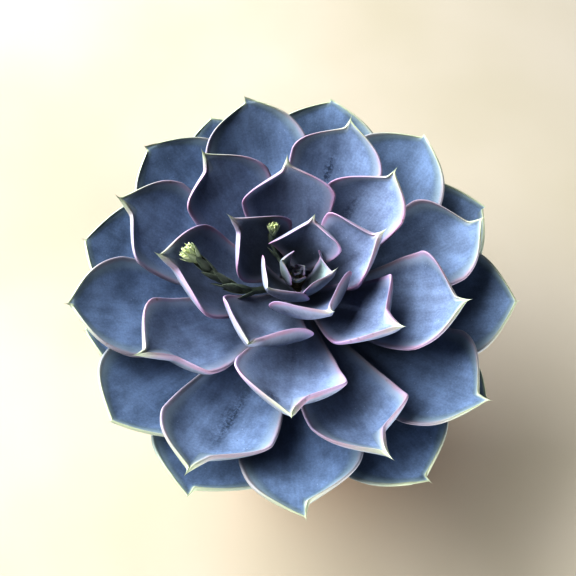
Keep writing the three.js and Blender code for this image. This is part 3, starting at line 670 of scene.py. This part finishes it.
def turned_skin(profile, sides, change=None, **marks):
    """A surface turned round the Z axis from a profile of (radius, height) points, whose first and
    last lie on the axis. A change may move its rings by a formula."""
    profile = np.array(profile, float)
    inner = profile[1:-1]
    angle = 2 * math.pi * np.arange(sides) / sides
    rings = np.stack([inner[:, :1] * np.cos(angle), inner[:, :1] * np.sin(angle),
                      np.broadcast_to(inner[:, 1:], (len(inner), sides))], -1)
    if change is not None:
        rings = change(rings)
    ends = [np.array([0, 0, profile[0][1]]), np.array([0, 0, profile[-1][1]])]
    return ring_skin(rings, *ends, **marks)


def rounded(corners, radius, steps=6):
    """An outline with each inner corner replaced by a quadratic curve between points one radius,
    or at most 0.45 of the shorter side, away from the corner."""
    corners = np.array(corners, float)
    points = [corners[0]]
    share = np.linspace(0, 1, steps)[:, None]
    for before, corner, after in zip(corners, corners[1:], corners[2:]):
        back, ahead = before - corner, after - corner
        reach = min(radius, 0.45 * np.linalg.norm(back), 0.45 * np.linalg.norm(ahead))
        start, end = corner + unit(back) * reach, corner + unit(ahead) * reach
        points.extend((1 - share) ** 2 * start + 2 * (1 - share) * share * corner + share**2 * end)
    points.append(corners[-1])
    return points


def pot_inner_radius(z):
    """Radius of the pot's inner wall at a height."""
    share = (z - POT_FLOOR) / (POT_HEIGHT - POT_FLOOR)
    return POT_FOOT_RADIUS + (POT_BODY_TOP_RADIUS - POT_FOOT_RADIUS) * share - POT_WALL


def pot_skin():
    """The clay pot's turned surface, with rounded edges and faint throwing rings."""
    collar_z = POT_HEIGHT - COLLAR_HEIGHT
    slope = (POT_BODY_TOP_RADIUS - POT_FOOT_RADIUS) / collar_z
    wall = [(POT_FOOT_RADIUS + slope * z, z) for z in np.linspace(4, collar_z - 2, 26)]
    inner = [(pot_inner_radius(z), z) for z in np.linspace(POT_HEIGHT - 4, POT_FLOOR + 3, 12)]
    outline = [(0, 0), (POT_FOOT_RADIUS, 0), *wall, (POT_BODY_TOP_RADIUS, collar_z),
               (COLLAR_LOW_RADIUS, collar_z), (COLLAR_TOP_RADIUS, POT_HEIGHT),
               (pot_inner_radius(POT_HEIGHT), POT_HEIGHT), *inner,
               (pot_inner_radius(POT_FLOOR), POT_FLOOR), (0, POT_FLOOR)]
    profile = rounded(outline, EDGE_ROUND)

    def thrown(rings):
        """Faint rings: the radius falls by up to 0.12 mm in slow uneven waves with height."""
        z = rings[..., 2:]
        wave = THROWN_DEPTH * (np.sin(1.9 * z + 0.4) * np.sin(0.23 * z + 1) - 1)
        inward = np.where((z > 1.5) & (z < POT_HEIGHT - 1.5), wave, 0) / np.linalg.norm(
            rings[..., :2], axis=-1, keepdims=True)
        return rings * np.concatenate([1 + inward, 1 + inward, np.ones_like(inward)], -1)

    return turned_skin(profile, POT_SIDES, thrown)


def drill_holes(pot):
    """Cuts the drain holes through the pot's floor with round drills on a ring."""
    rods = []
    low, high = -POT_FLOOR, 2 * POT_FLOOR
    for hole in range(DRAIN_HOLES):
        angle = 2 * math.pi * hole / DRAIN_HOLES
        rod = turned_skin([(0, low), (DRAIN_RADIUS, low), (DRAIN_RADIUS, high), (0, high)],
                          DRILL_SIDES)
        rod.points += DRAIN_RING_RADIUS * np.array([math.cos(angle), math.sin(angle), 0])
        rods.append(rod)
    drills = joined(rods)
    faces = drills.quads.tolist() + drills.tris.tolist()
    mesh = bpy.data.meshes.new("drills")
    mesh.from_pydata((drills.points * MM).tolist(), [], faces)
    tool = bpy.data.objects.new("drills", mesh)
    bpy.context.scene.collection.objects.link(tool)
    cut = pot.modifiers.new("drain holes", "BOOLEAN")
    cut.operation = "DIFFERENCE"
    cut.solver = "EXACT"
    cut.object = tool
    ready = pot.evaluated_get(bpy.context.evaluated_depsgraph_get())
    bored = bpy.data.meshes.new_from_object(ready)
    pot.modifiers.clear()
    pot.data = bored
    bpy.data.objects.remove(tool)


def soil_waves(x, y):
    """Rise of the soil's top at a place: two crossed waves of about a third of a millimetre."""
    even = 0.35 * np.sin(0.9 * x + 1) * np.cos(0.8 * y)
    return even + 0.3 * np.sin(0.37 * x * y + 2) * np.cos(0.5 * x)


def ball_of_triangles():
    """A ball of 12 corners, at (0, 1, g) with every sign and turn of place for the golden ratio g,
    and the 20 triangles between corners that are neighbours, facing out."""
    golden = (1 + math.sqrt(5)) / 2
    corners = [(0, a, b) for a in (-1, 1) for b in (-golden, golden)]
    corners = corners + [(b, 0, a) for _, a, b in corners] + [(a, b, 0) for _, a, b in corners]
    corners = unit(np.array(corners, float))
    gaps = np.linalg.norm(corners[:, None] - corners[None], axis=-1)
    near = (gaps > 0.1) & (gaps < 1.2)
    faces = [(i, j, k) for i in range(12) for j in range(i + 1, 12) for k in range(j + 1, 12)
             if near[i, j] and near[j, k] and near[i, k]]
    return corners, np.array([f if np.linalg.det(corners[list(f)]) > 0 else f[::-1] for f in faces])


def turning(spins):
    """Turning matrices of unit quaternions (a, b, c, d)."""
    a, b, c, d = spins.T
    rows = np.stack([1 - 2 * (c * c + d * d), 2 * (b * c - a * d), 2 * (b * d + a * c),
                     2 * (b * c + a * d), 1 - 2 * (b * b + d * d), 2 * (c * d - a * b),
                     2 * (b * d - a * c), 2 * (c * d + a * b), 1 - 2 * (b * b + c * c)], -1)
    return rows.reshape(-1, 3, 3)


def grains_skin(top, hole, edge):
    """Seeded grains of pumice, bark and sand, half sunk in the soil's top between the stem's hole
    and the pot: each is a ball with its corners moved, then stretched and turned."""
    chance = np.random.default_rng(SOIL_SEED)
    corners, faces = ball_of_triangles()
    share = np.sqrt(chance.uniform(0, 1, GRAINS))
    radius = hole + GRAINS_FROM_HOLE + (edge - hole - GRAINS_CLEAR) * share
    turn = chance.uniform(0, 2 * math.pi, GRAINS)
    size = chance.gamma(3.0, 0.22, GRAINS).clip(GRAIN_LEAST, GRAIN_MOST)
    x, y = radius * np.cos(turn), radius * np.sin(turn)
    z = top + SOIL_CROWN * (edge - radius) / (edge - hole) + soil_waves(x, y) + 0.1 * size
    turns = turning(unit(chance.normal(size=(GRAINS, 4))))
    stretch = chance.uniform(0.6, 1.2, (GRAINS, 1, 3)) * size[:, None, None]
    knobs = corners[None] * chance.uniform(0.8, 1.15, (GRAINS, 12, 1)) * stretch
    points = np.einsum("nij,nkj->nki", turns, knobs) + np.stack([x, y, z], -1)[:, None]
    tris = faces[None] + 12 * np.arange(GRAINS)[:, None, None]
    return SimpleNamespace(points=points.reshape(-1, 3), quads=np.zeros((0, 4), int),
                           tris=tris.reshape(-1, 3),
                           marks={"grain": np.repeat(chance.uniform(0.2, 1, GRAINS), 12)})


def soil_skin():
    """The soil's surface, crowned towards the stem and uneven in slow waves, with its sides,
    bottom and hole for the stem, and the grains in its top."""
    top = POT_HEIGHT - SOIL_BELOW_RIM
    bottom = POT_FLOOR + SEAT_GAP
    edge = pot_inner_radius(top) - SEAT_GAP
    hole = STEM_ROOT_RADIUS + SEAT_GAP
    crown = [(edge + (hole - edge) * share, top + SOIL_CROWN * share)
             for share in np.linspace(0, 1, SOIL_RINGS)]
    hole_floor = top - STEM_IN_SOIL - SEAT_GAP
    profile = [(0, bottom), (pot_inner_radius(bottom) - SEAT_GAP, bottom), *crown,
               (hole, hole_floor), (0, hole_floor)]

    def uneven(rings):
        """Moves the top's inner points up and down by the waves."""
        x, y, z = np.moveaxis(rings, -1, 0)
        radius = np.hypot(x, y)
        open_top = (z > top - 0.5) & (radius < edge - 1) & (radius > hole + 1)
        return np.stack([x, y, z + np.where(open_top, soil_waves(x, y), 0)], -1)

    bed = turned_skin(profile, SOIL_SIDES, uneven, grain=0.1)
    return joined([bed, grains_skin(top, hole, edge)])


def stem_skin():
    """The short stem, with a low scar below each leaf that has gone: its radius dips in a spiral
    pattern of ovals and is never more than the solid's."""
    foot = POT_HEIGHT - SOIL_BELOW_RIM - STEM_IN_SOIL
    crown = POT_HEIGHT - SOIL_BELOW_RIM + SOIL_CROWN
    z = np.linspace(crown + 0.5, GROWING_POINT_Z - 1, STEM_RINGS)
    bare = along(BASE_RADIUS, (GROWING_POINT_Z - z) / LEAF_PITCH - 1) - SEAT_GAP
    upper = list(zip(np.minimum(bare, STEM_ROOT_RADIUS + 0.02 * (z - crown)), z))
    profile = [(0, foot), (STEM_FOOT_RADIUS, foot), (STEM_ROOT_RADIUS, foot + STEM_FOOT_TAPER),
               (STEM_ROOT_RADIUS, crown - 2), *upper, (0, GROWING_POINT_Z)]

    def scarred(rings):
        """Dips of the radius where two sets of waves cross, 5 and 3 of them round the stem."""
        x, y, z = np.moveaxis(rings, -1, 0)
        turn = np.arctan2(y, x)
        dips = 0.5 + 0.5 * np.cos(5 * turn + 2.2 * z) * np.cos(3 * turn - 1.3 * z)
        shrink = 1 - SCAR_DEPTH * dips * smooth(crown - 4, crown, z)
        return np.stack([x * shrink, y * shrink, z], -1)

    return turned_skin(profile, STEM_SIDES, scarred)


def colour(code):
    """A web colour code as linear red, green, blue and full alpha."""
    values = [int(code[i:i + 2], 16) / 255 for i in (1, 3, 5)]
    return (*[v / 12.92 if v <= 0.04045 else ((v + 0.055) / 1.055) ** 2.4 for v in values], 1.0)


def node(tree, kind, inputs=None, **settings):
    """Adds a node, sets its settings, and fills its inputs with values or links."""
    made = tree.nodes.new(kind)
    for name, value in settings.items():
        setattr(made, name, value)
    for name, value in (inputs or {}).items():
        if isinstance(value, bpy.types.NodeSocket):
            tree.links.new(value, made.inputs[name])
        else:
            made.inputs[name].default_value = value
    return made


def mark(tree, name, output="Fac"):
    """A value that the mesh carries at each point."""
    return node(tree, "ShaderNodeAttribute", attribute_name=name).outputs[output]


def maths(tree, operation, a, b, clamp=False):
    """One sum on two values."""
    made = node(tree, "ShaderNodeMath", {0: a, 1: b}, operation=operation, use_clamp=clamp)
    return made.outputs[0]


def times(tree, a, b):
    """Two values multiplied."""
    return maths(tree, "MULTIPLY", a, b)


def plus(tree, a, b):
    """Two values added."""
    return maths(tree, "ADD", a, b)


def mixed(tree, share, a, b):
    """Two colours mixed by a share, each a web code or another node's colour."""
    a, b = (colour(shade) if isinstance(shade, str) else shade for shade in (a, b))
    return node(tree, "ShaderNodeMix", {0: share, 6: a, 7: b}, data_type="RGBA").outputs[2]


def ramp(tree, value, low, high, at_low=0.0, at_high=1.0):
    """A smooth run from one value at low to another at high."""
    inputs = {"Value": value, "From Min": low, "From Max": high, "To Min": at_low,
              "To Max": at_high}
    return node(tree, "ShaderNodeMapRange", inputs, interpolation_type="SMOOTHSTEP").outputs[0]


def noise(tree, place, scale, detail=3.0, roughness=0.5):
    """Cloudy noise round 0.5."""
    inputs = {"Vector": place, "Scale": scale, "Detail": detail, "Roughness": roughness}
    return node(tree, "ShaderNodeTexNoise", inputs).outputs["Fac"]


def stretched(tree, place, scale):
    """A place scaled by its own amount along each axis."""
    return node(tree, "ShaderNodeMapping", {"Vector": place, "Scale": scale}).outputs[0]


def specks(tree, place, scale, reach):
    """Small round spots, 1 inside and 0 out of reach of seeded centres."""
    near = node(tree, "ShaderNodeTexVoronoi", {"Vector": place, "Scale": scale}).outputs["Distance"]
    return ramp(tree, near, reach, 0.4 * reach)


def millimetres(tree):
    """Object coordinates in millimetres."""
    place = node(tree, "ShaderNodeTexCoord").outputs["Object"]
    return stretched(tree, place, (1000, 1000, 1000))


def powder_bloom():
    """Node group: the waxy powder on a succulent's skin. Cloudy noise, streaks along the leaf and
    fine mottling thin it out, and rubbing takes it off. Puts out colour, roughness and height."""
    group = bpy.data.node_groups.new("powder bloom", "ShaderNodeTree")
    for side, name, kind in (("INPUT", "Place", "Vector"), ("INPUT", "Skin", "Color"),
                             ("INPUT", "Powder", "Color"), ("INPUT", "Cover", "Float"),
                             ("INPUT", "Rubbed", "Float"), ("OUTPUT", "Color", "Color"),
                             ("OUTPUT", "Roughness", "Float"), ("OUTPUT", "Height", "Float")):
        group.interface.new_socket(name, in_out=side, socket_type=f"NodeSocket{kind}")
    given = group.nodes.new("NodeGroupInput").outputs
    place = given["Place"]
    clouds = noise(group, place, 0.11, 3.0, 0.55)
    streaks = noise(group, stretched(group, place, (0.05, 0.42, 1)), 1.0, 4.0, 0.6)
    mottle = noise(group, place, 1.3, 5.0, 0.65)
    thin = plus(group, times(group, ramp(group, clouds, 0.3, 0.7), 0.5),
                 times(group, ramp(group, streaks, 0.3, 0.7), 0.18))
    thin = plus(group, thin, times(group, ramp(group, mottle, 0.3, 0.7), 0.28))
    cover = plus(group, given["Cover"], times(group, maths(group, "SUBTRACT", thin, 0.5), 0.8))
    worn = times(group, given["Rubbed"], ramp(group, noise(group, place, 0.9, 4.0, 0.7), 0.35, 0.6))
    cover = maths(group, "SUBTRACT", cover, worn, clamp=True)
    shade = mixed(group, cover, given["Skin"], given["Powder"])
    bright = specks(group, place, 0.8, 0.13)
    bright = times(group, bright, ramp(group, noise(group, place, 0.2, 2.0), 0.52, 0.68))
    shade = mixed(group, times(group, bright, 0.6), shade, "#dfe6f2")
    nicks = specks(group, stretched(group, place, (0.5, 1, 1)), 0.45, 0.07)
    nicks = times(group, nicks, ramp(group, noise(group, place, 0.13, 2.0), 0.5, 0.62))
    shade = mixed(group, times(group, nicks, 0.6), shade, given["Skin"])
    rough = ramp(group, cover, 0.0, 1.0, 0.42, 0.72)
    fine = noise(group, place, 5.0, 3.0, 0.6)
    height = plus(group, times(group, mottle, 0.6), times(group, fine, 0.25))
    height = plus(group, height, times(group, bright, 0.3))
    node(group, "NodeGroupOutput", {"Color": shade, "Roughness": rough, "Height": height})
    return group


def finish_material(material, shade, rough, height, bump, depth, **shader):
    """Ends a material: its Principled shader takes the colour, the roughness and the bumps, and
    uniform values straight on its own sockets."""
    tree = material.node_tree
    normal = node(tree, "ShaderNodeBump", {"Strength": bump, "Distance": depth, "Height": height})
    body = tree.nodes["Principled BSDF"]
    tree.links.new(shade, body.inputs["Base Color"])
    tree.links.new(rough, body.inputs["Roughness"])
    tree.links.new(normal.outputs[0], body.inputs["Normal"])
    for socket, value in shader.items():
        body.inputs[socket.replace("_", " ")].default_value = value
    return material


def new_material(name):
    """An empty material and its node tree."""
    material = bpy.data.materials.new(name)
    material.use_nodes = True
    return material, material.node_tree


def leaf_material(bloom):
    """Powdery leaf: lilac-blue inside and blue-grey outside, paler below, with a pale rim that is
    pink-mauve on young shoulders and green-cream on old margins and at the tip, and a thin green
    band inside the rim where the powder is scarce. The lower part of each young leaf round the
    heart is darkened with painted shade."""
    material, tree = new_material("powdery leaf")
    place = mark(tree, "leaf_place", "Vector")
    age, rim, run = mark(tree, "age"), mark(tree, "rim"), mark(tree, "run")
    under, blush, rub = mark(tree, "under"), mark(tree, "blush"), mark(tree, "rub")
    older = ramp(tree, age, 0.05, 0.75)
    powder = mixed(tree, older, "#a1b0cb", "#8fa5c4")
    powder = mixed(tree, ramp(tree, age, 0.08, 0.0), powder, "#aebfb9")
    powder = mixed(tree, times(tree, under, 0.6), powder, "#aab0bd")
    skin = mixed(tree, older, "#525c78", "#3f5368")
    skin = mixed(tree, ramp(tree, age, 0.08, 0.0), skin, "#5f7468")
    green = times(tree, ramp(tree, rim, 6.5, 2.4), ramp(tree, run, 0.5, 0.9))
    green = times(tree, green, ramp(tree, age, 0.15, 0.6, 0.25, 0.8))
    skin = mixed(tree, green, skin, "#4c5f4f")
    powder = mixed(tree, times(tree, green, 0.55), powder, "#7f9288")
    cover = maths(tree, "SUBTRACT", 0.72, times(tree, green, 0.25))
    # Painted shade: the lower part of each young leaf round the heart is darkened, where shade
    # falls deep in the rosette
    painted_heart_shade = times(tree, ramp(tree, run, 0.6, 0.22), ramp(tree, age, 0.32, 0.02, 0.0, 0.85))
    powder = mixed(tree, painted_heart_shade, powder, "#38424f")
    skin = mixed(tree, painted_heart_shade, skin, "#222a2e")
    coat = node(tree, "ShaderNodeGroup", {"Place": place, "Skin": skin, "Powder": powder,
                                          "Cover": cover, "Rubbed": rub}, node_tree=bloom)
    uneven = times(tree, maths(tree, "SUBTRACT", noise(tree, place, 0.35, 3.0), 0.5), 1.1)
    edge = plus(tree, rim, uneven)
    pale = mixed(tree, ramp(tree, run, 0.76, 0.95), "#98a8a2", "#c3ccb4")
    mauve = mixed(tree, ramp(tree, noise(tree, place, 0.12, 2.0), 0.35, 0.65), "#c4b0d0", "#c29fba")
    rim_colour = mixed(tree, blush, pale, mauve)
    soft = ramp(tree, edge, 5.4, 1.5, 0.0, 0.75)
    hard = ramp(tree, edge, 2.3, 0.8, 0.0, 0.92)
    band = mixed(tree, older, "#b3b7cd", "#a2b3c1")
    shade = mixed(tree, soft, coat.outputs["Color"], band)
    shade = mixed(tree, hard, shade, rim_colour)
    callus = specks(tree, stretched(tree, place, (0.6, 1, 1)), 0.33, 0.16)
    patches = ramp(tree, noise(tree, place, 0.08, 1.0), 0.5, 0.6)
    callus = times(tree, callus, times(tree, hard, patches))
    shade = mixed(tree, times(tree, callus, 0.55), shade, "#8c7a70")
    rough = maths(tree, "SUBTRACT", coat.outputs["Roughness"], times(tree, hard, 0.12))
    return finish_material(material, shade, rough, coat.outputs["Height"], bump=0.35, depth=0.00035,
                           Sheen_Weight=0.12, Sheen_Roughness=0.6, Specular_IOR_Level=0.4)


def flower_material(bloom, name, low, high, edge):
    """Bracts and buds: a skin that runs from one colour to another with the piece's tint, with
    pale margins and a light powder."""
    material, tree = new_material(name)
    place = millimetres(tree)
    tint, margin = mark(tree, "tint"), mark(tree, "margin")
    skin = mixed(tree, ramp(tree, tint, 0.1, 1.0), low, high)
    skin = mixed(tree, ramp(tree, margin, 0.45, 0.95), skin, edge)
    powder = mixed(tree, 0.45, skin, "#c9d3c4")
    coat = node(tree, "ShaderNodeGroup", {"Place": place, "Skin": skin, "Powder": powder,
                                          "Cover": 0.35, "Rubbed": 0.0}, node_tree=bloom)
    return finish_material(material, coat.outputs["Color"], coat.outputs["Roughness"],
                           coat.outputs["Height"], bump=0.25, depth=0.0002, Specular_IOR_Level=0.45)


def clay_material():
    """Unglazed clay: mottled orange-brown with pale lime bloom near the rim and foot, darker damp
    clouds on the body, and a fine sandy grain."""
    material, tree = new_material("unglazed clay")
    place = millimetres(tree)
    height = node(tree, "ShaderNodeSeparateXYZ", {0: place}).outputs["Z"]
    clouds = noise(tree, place, 0.05, 4.0, 0.6)
    shade = mixed(tree, ramp(tree, clouds, 0.3, 0.7), "#ad7659", "#c28f72")
    rings = noise(tree, stretched(tree, place, (0.02, 0.02, 1.2)), 1.0, 3.0)
    shade = mixed(tree, ramp(tree, rings, 0.4, 0.7, 0.0, 0.3), shade, "#96654c")
    lime = maths(tree, "MAXIMUM", ramp(tree, height, 66.0, 88.0), ramp(tree, height, 16.0, 0.0))
    lime = times(tree, lime, ramp(tree, noise(tree, place, 0.16, 5.0, 0.65), 0.45, 0.7))
    shade = mixed(tree, times(tree, lime, 0.6), shade, "#ddc6b3")
    grit = specks(tree, place, 1.4, 0.22)
    shade = mixed(tree, times(tree, grit, 0.25), shade, "#7d5644")
    rough = ramp(tree, clouds, 0.3, 0.7, 0.82, 0.95)
    sand = plus(tree, noise(tree, place, 3.0, 4.0, 0.6), times(tree, rings, 0.5))
    return finish_material(material, shade, rough, sand, bump=0.4, depth=0.0004,
                           Specular_IOR_Level=0.3)


def soil_material():
    """Gritty soil: a dark bed, and grains of bark, sand and pumice picked by the grain's value."""
    material, tree = new_material("gritty soil")
    place = millimetres(tree)
    grain = mark(tree, "grain")
    shade = mixed(tree, ramp(tree, noise(tree, place, 0.8, 4.0), 0.35, 0.65), "#2b2119", "#4a3a2c")
    shade = mixed(tree, ramp(tree, grain, 0.45, 0.47), shade, "#7a6048")
    shade = mixed(tree, ramp(tree, grain, 0.62, 0.64), shade, "#8f867a")
    shade = mixed(tree, ramp(tree, grain, 0.78, 0.8), shade, "#c9c1b2")
    stains = ramp(tree, noise(tree, place, 2.5, 3.0), 0.4, 0.7, 0.0, 0.35)
    shade = mixed(tree, stains, shade, "#33281f")
    rough = ramp(tree, grain, 0.0, 1.0, 0.95, 0.85)
    return finish_material(material, shade, rough, noise(tree, place, 3.5, 5.0, 0.7), bump=0.7,
                           depth=0.0006, Specular_IOR_Level=0.2)


def stem_material():
    """Corky stem: grey-brown with darker cracks round it and paler scars."""
    material, tree = new_material("corky stem")
    place = millimetres(tree)
    cracks = noise(tree, stretched(tree, place, (0.5, 0.5, 2.5)), 1.0, 5.0, 0.65)
    shade = mixed(tree, ramp(tree, cracks, 0.35, 0.65), "#5d5140", "#a09373")
    scars = ramp(tree, noise(tree, place, 0.4, 2.0), 0.5, 0.7, 0.0, 0.5)
    shade = mixed(tree, scars, shade, "#7f8a68")
    rough = ramp(tree, cracks, 0.3, 0.7, 0.9, 0.75)
    return finish_material(material, shade, rough, cracks, bump=0.6, depth=0.0006,
                           Specular_IOR_Level=0.25)


def floor_material():
    """Plain pale cream surface with a barely seen unevenness."""
    material, tree = new_material("pale floor")
    place = node(tree, "ShaderNodeTexCoord").outputs["Object"]
    clouds = noise(tree, place, 6.0, 3.0)
    shade = mixed(tree, ramp(tree, clouds, 0.3, 0.7), "#c1bdb4", "#bab6a9")
    rough = ramp(tree, clouds, 0.3, 0.7, 0.7, 0.8)
    return finish_material(material, shade, rough, clouds, bump=0.02, depth=0.001)


def camera_of_the_photo():
    """A camera that looks down at the growing point, rolled a little, and turned so that the point
    shows where the photograph has it."""
    down, roll = math.radians(LOOK_DOWN_DEG), math.radians(CAMERA_ROLL_DEG)
    back = Vector((0, -math.cos(down), math.sin(down)))
    level = Vector((1, 0, 0))
    upper = Vector((0, math.sin(down), math.cos(down)))
    right = level * math.cos(roll) - upper * math.sin(roll)
    up = level * math.sin(roll) + upper * math.cos(roll)
    aim = Matrix((right, up, back)).transposed()
    off_x = GROWING_POINT_PX[0] - FRAME_PX / 2
    off_y = FRAME_PX / 2 - GROWING_POINT_PX[1]
    turn = Vector((0, 0, -1)).rotation_difference(Vector((off_x, off_y, -FOCAL_PX)))
    data = bpy.data.cameras.new("camera")
    data.sensor_width = SENSOR
    data.lens = FOCAL_PX / FRAME_PX * SENSOR
    data.clip_start = 0.01
    camera = bpy.data.objects.new("camera", data)
    place = Vector((0, 0, GROWING_POINT_Z * MM)) + back * CAMERA_DISTANCE * MM
    camera.matrix_world = Matrix.Translation(place) @ (aim @ turn.to_matrix().transposed()).to_4x4()
    bpy.context.scene.collection.objects.link(camera)
    bpy.context.scene.camera = camera


def soft_light(name, place, aim, size, power):
    """A rectangular light at a place, turned so that its face looks at the aim."""
    data = bpy.data.lights.new(name, "AREA")
    data.shape = "RECTANGLE"
    data.size, data.size_y = size
    data.energy = power
    data.color = WINDOW_COLOUR
    light = bpy.data.objects.new(name, data)
    light.location = place
    light.rotation_mode = "QUATERNION"
    light.rotation_quaternion = (Vector(place) - Vector(aim)).to_track_quat("Z", "Y")
    bpy.context.scene.collection.objects.link(light)
    return light


def light_and_room():
    """A soft window, a low pale card opposite, the room's dim light and a pale backdrop."""
    place = Vector(WINDOW_AIM) + Vector(WINDOW_DIRECTION).normalized() * WINDOW_DISTANCE
    soft_light("window", place, WINDOW_AIM, WINDOW_SIZE, WINDOW_POWER)
    card = soft_light("pale_card", CARD_PLACE, CARD_AIM, CARD_SIZE, CARD_POWER)
    card.visible_camera = False
    world = bpy.data.worlds.new("room")
    world.use_nodes = True
    tree = world.node_tree
    backdrop = node(tree, "ShaderNodeBackground", {"Color": (*BACKDROP_COLOUR, 1)})
    seen = node(tree, "ShaderNodeLightPath").outputs["Is Camera Ray"]
    room = tree.nodes["Background"]
    room.inputs["Color"].default_value = (*ROOM_COLOUR, 1)
    room.inputs["Strength"].default_value = ROOM_STRENGTH
    both = node(tree, "ShaderNodeMixShader", {0: seen, 1: room.outputs[0], 2: backdrop.outputs[0]})
    tree.links.new(both.outputs[0], tree.nodes["World Output"].inputs["Surface"])
    bpy.context.scene.world = world


def floor_below():
    """A level floor of square faces, which belongs to the picture only."""
    share = np.linspace(-FLOOR_REACH, FLOOR_REACH, FLOOR_STEPS + 1)
    x, y = np.meshgrid(share, share, indexing="ij")
    points = np.stack([x, y, np.zeros_like(x)], -1).reshape(-1, 3)
    step = np.arange(FLOOR_STEPS)
    first = (step[:, None] * (FLOOR_STEPS + 1) + step[None]).ravel()
    faces = np.stack([first, first + FLOOR_STEPS + 1, first + FLOOR_STEPS + 2, first + 1], -1)
    mesh = bpy.data.meshes.new("floor")
    mesh.from_pydata(points.tolist(), [], faces.tolist())
    mesh.materials.append(floor_material())
    floor = bpy.data.objects.new("floor", mesh)
    bpy.context.scene.collection.objects.link(floor)


def plant_and_pot():
    """All the pieces of the plant, its soil and its pot."""
    bloom = powder_bloom()
    leaf = leaf_material(bloom)
    for order in range(LEAF_COUNT):
        number = f"{order + 1:02d}"
        skin = leaf_skin(order, LEAF_RINGS, LEAF_SIDES)
        piece(f"leaf_blade_{number}", skin, leaf, "leaf", f"leaf_{number}")
    piece("heart_leaves", heart_skin(), leaf, "leaf", "heart")
    green = flower_material(bloom, "stalk skin", "#5b685f", "#84937a", "#b3bfae")
    yellow = flower_material(bloom, "bud skin", "#8b9b80", "#cdd6a6", "#e6ebd8")
    for number, stalk in enumerate(STALKS, start=1):
        side = stalk["name"]
        piece(f"stalk_with_bracts_{side}", stalk_skin(stalk), green, "stalk",
              f"flower_stalk_{number}")
        piece(f"young_buds_{side}", head_skin(stalk), yellow, "bud", f"bud_head_{number}")
    piece("scarred_stem", stem_skin(), stem_material(), "stem", "stem")
    piece("gritty_bed", soil_skin(), soil_material(), "soil", "soil")
    pot = piece("clay_pot", pot_skin(), clay_material(), "clay", "pot")
    drill_holes(pot)


camera_of_the_photo()
light_and_room()
floor_below()
plant_and_pot()
bpy.context.scene.view_settings.view_transform = "Standard"
bpy.context.scene.view_settings.gamma = TONE_GAMMA
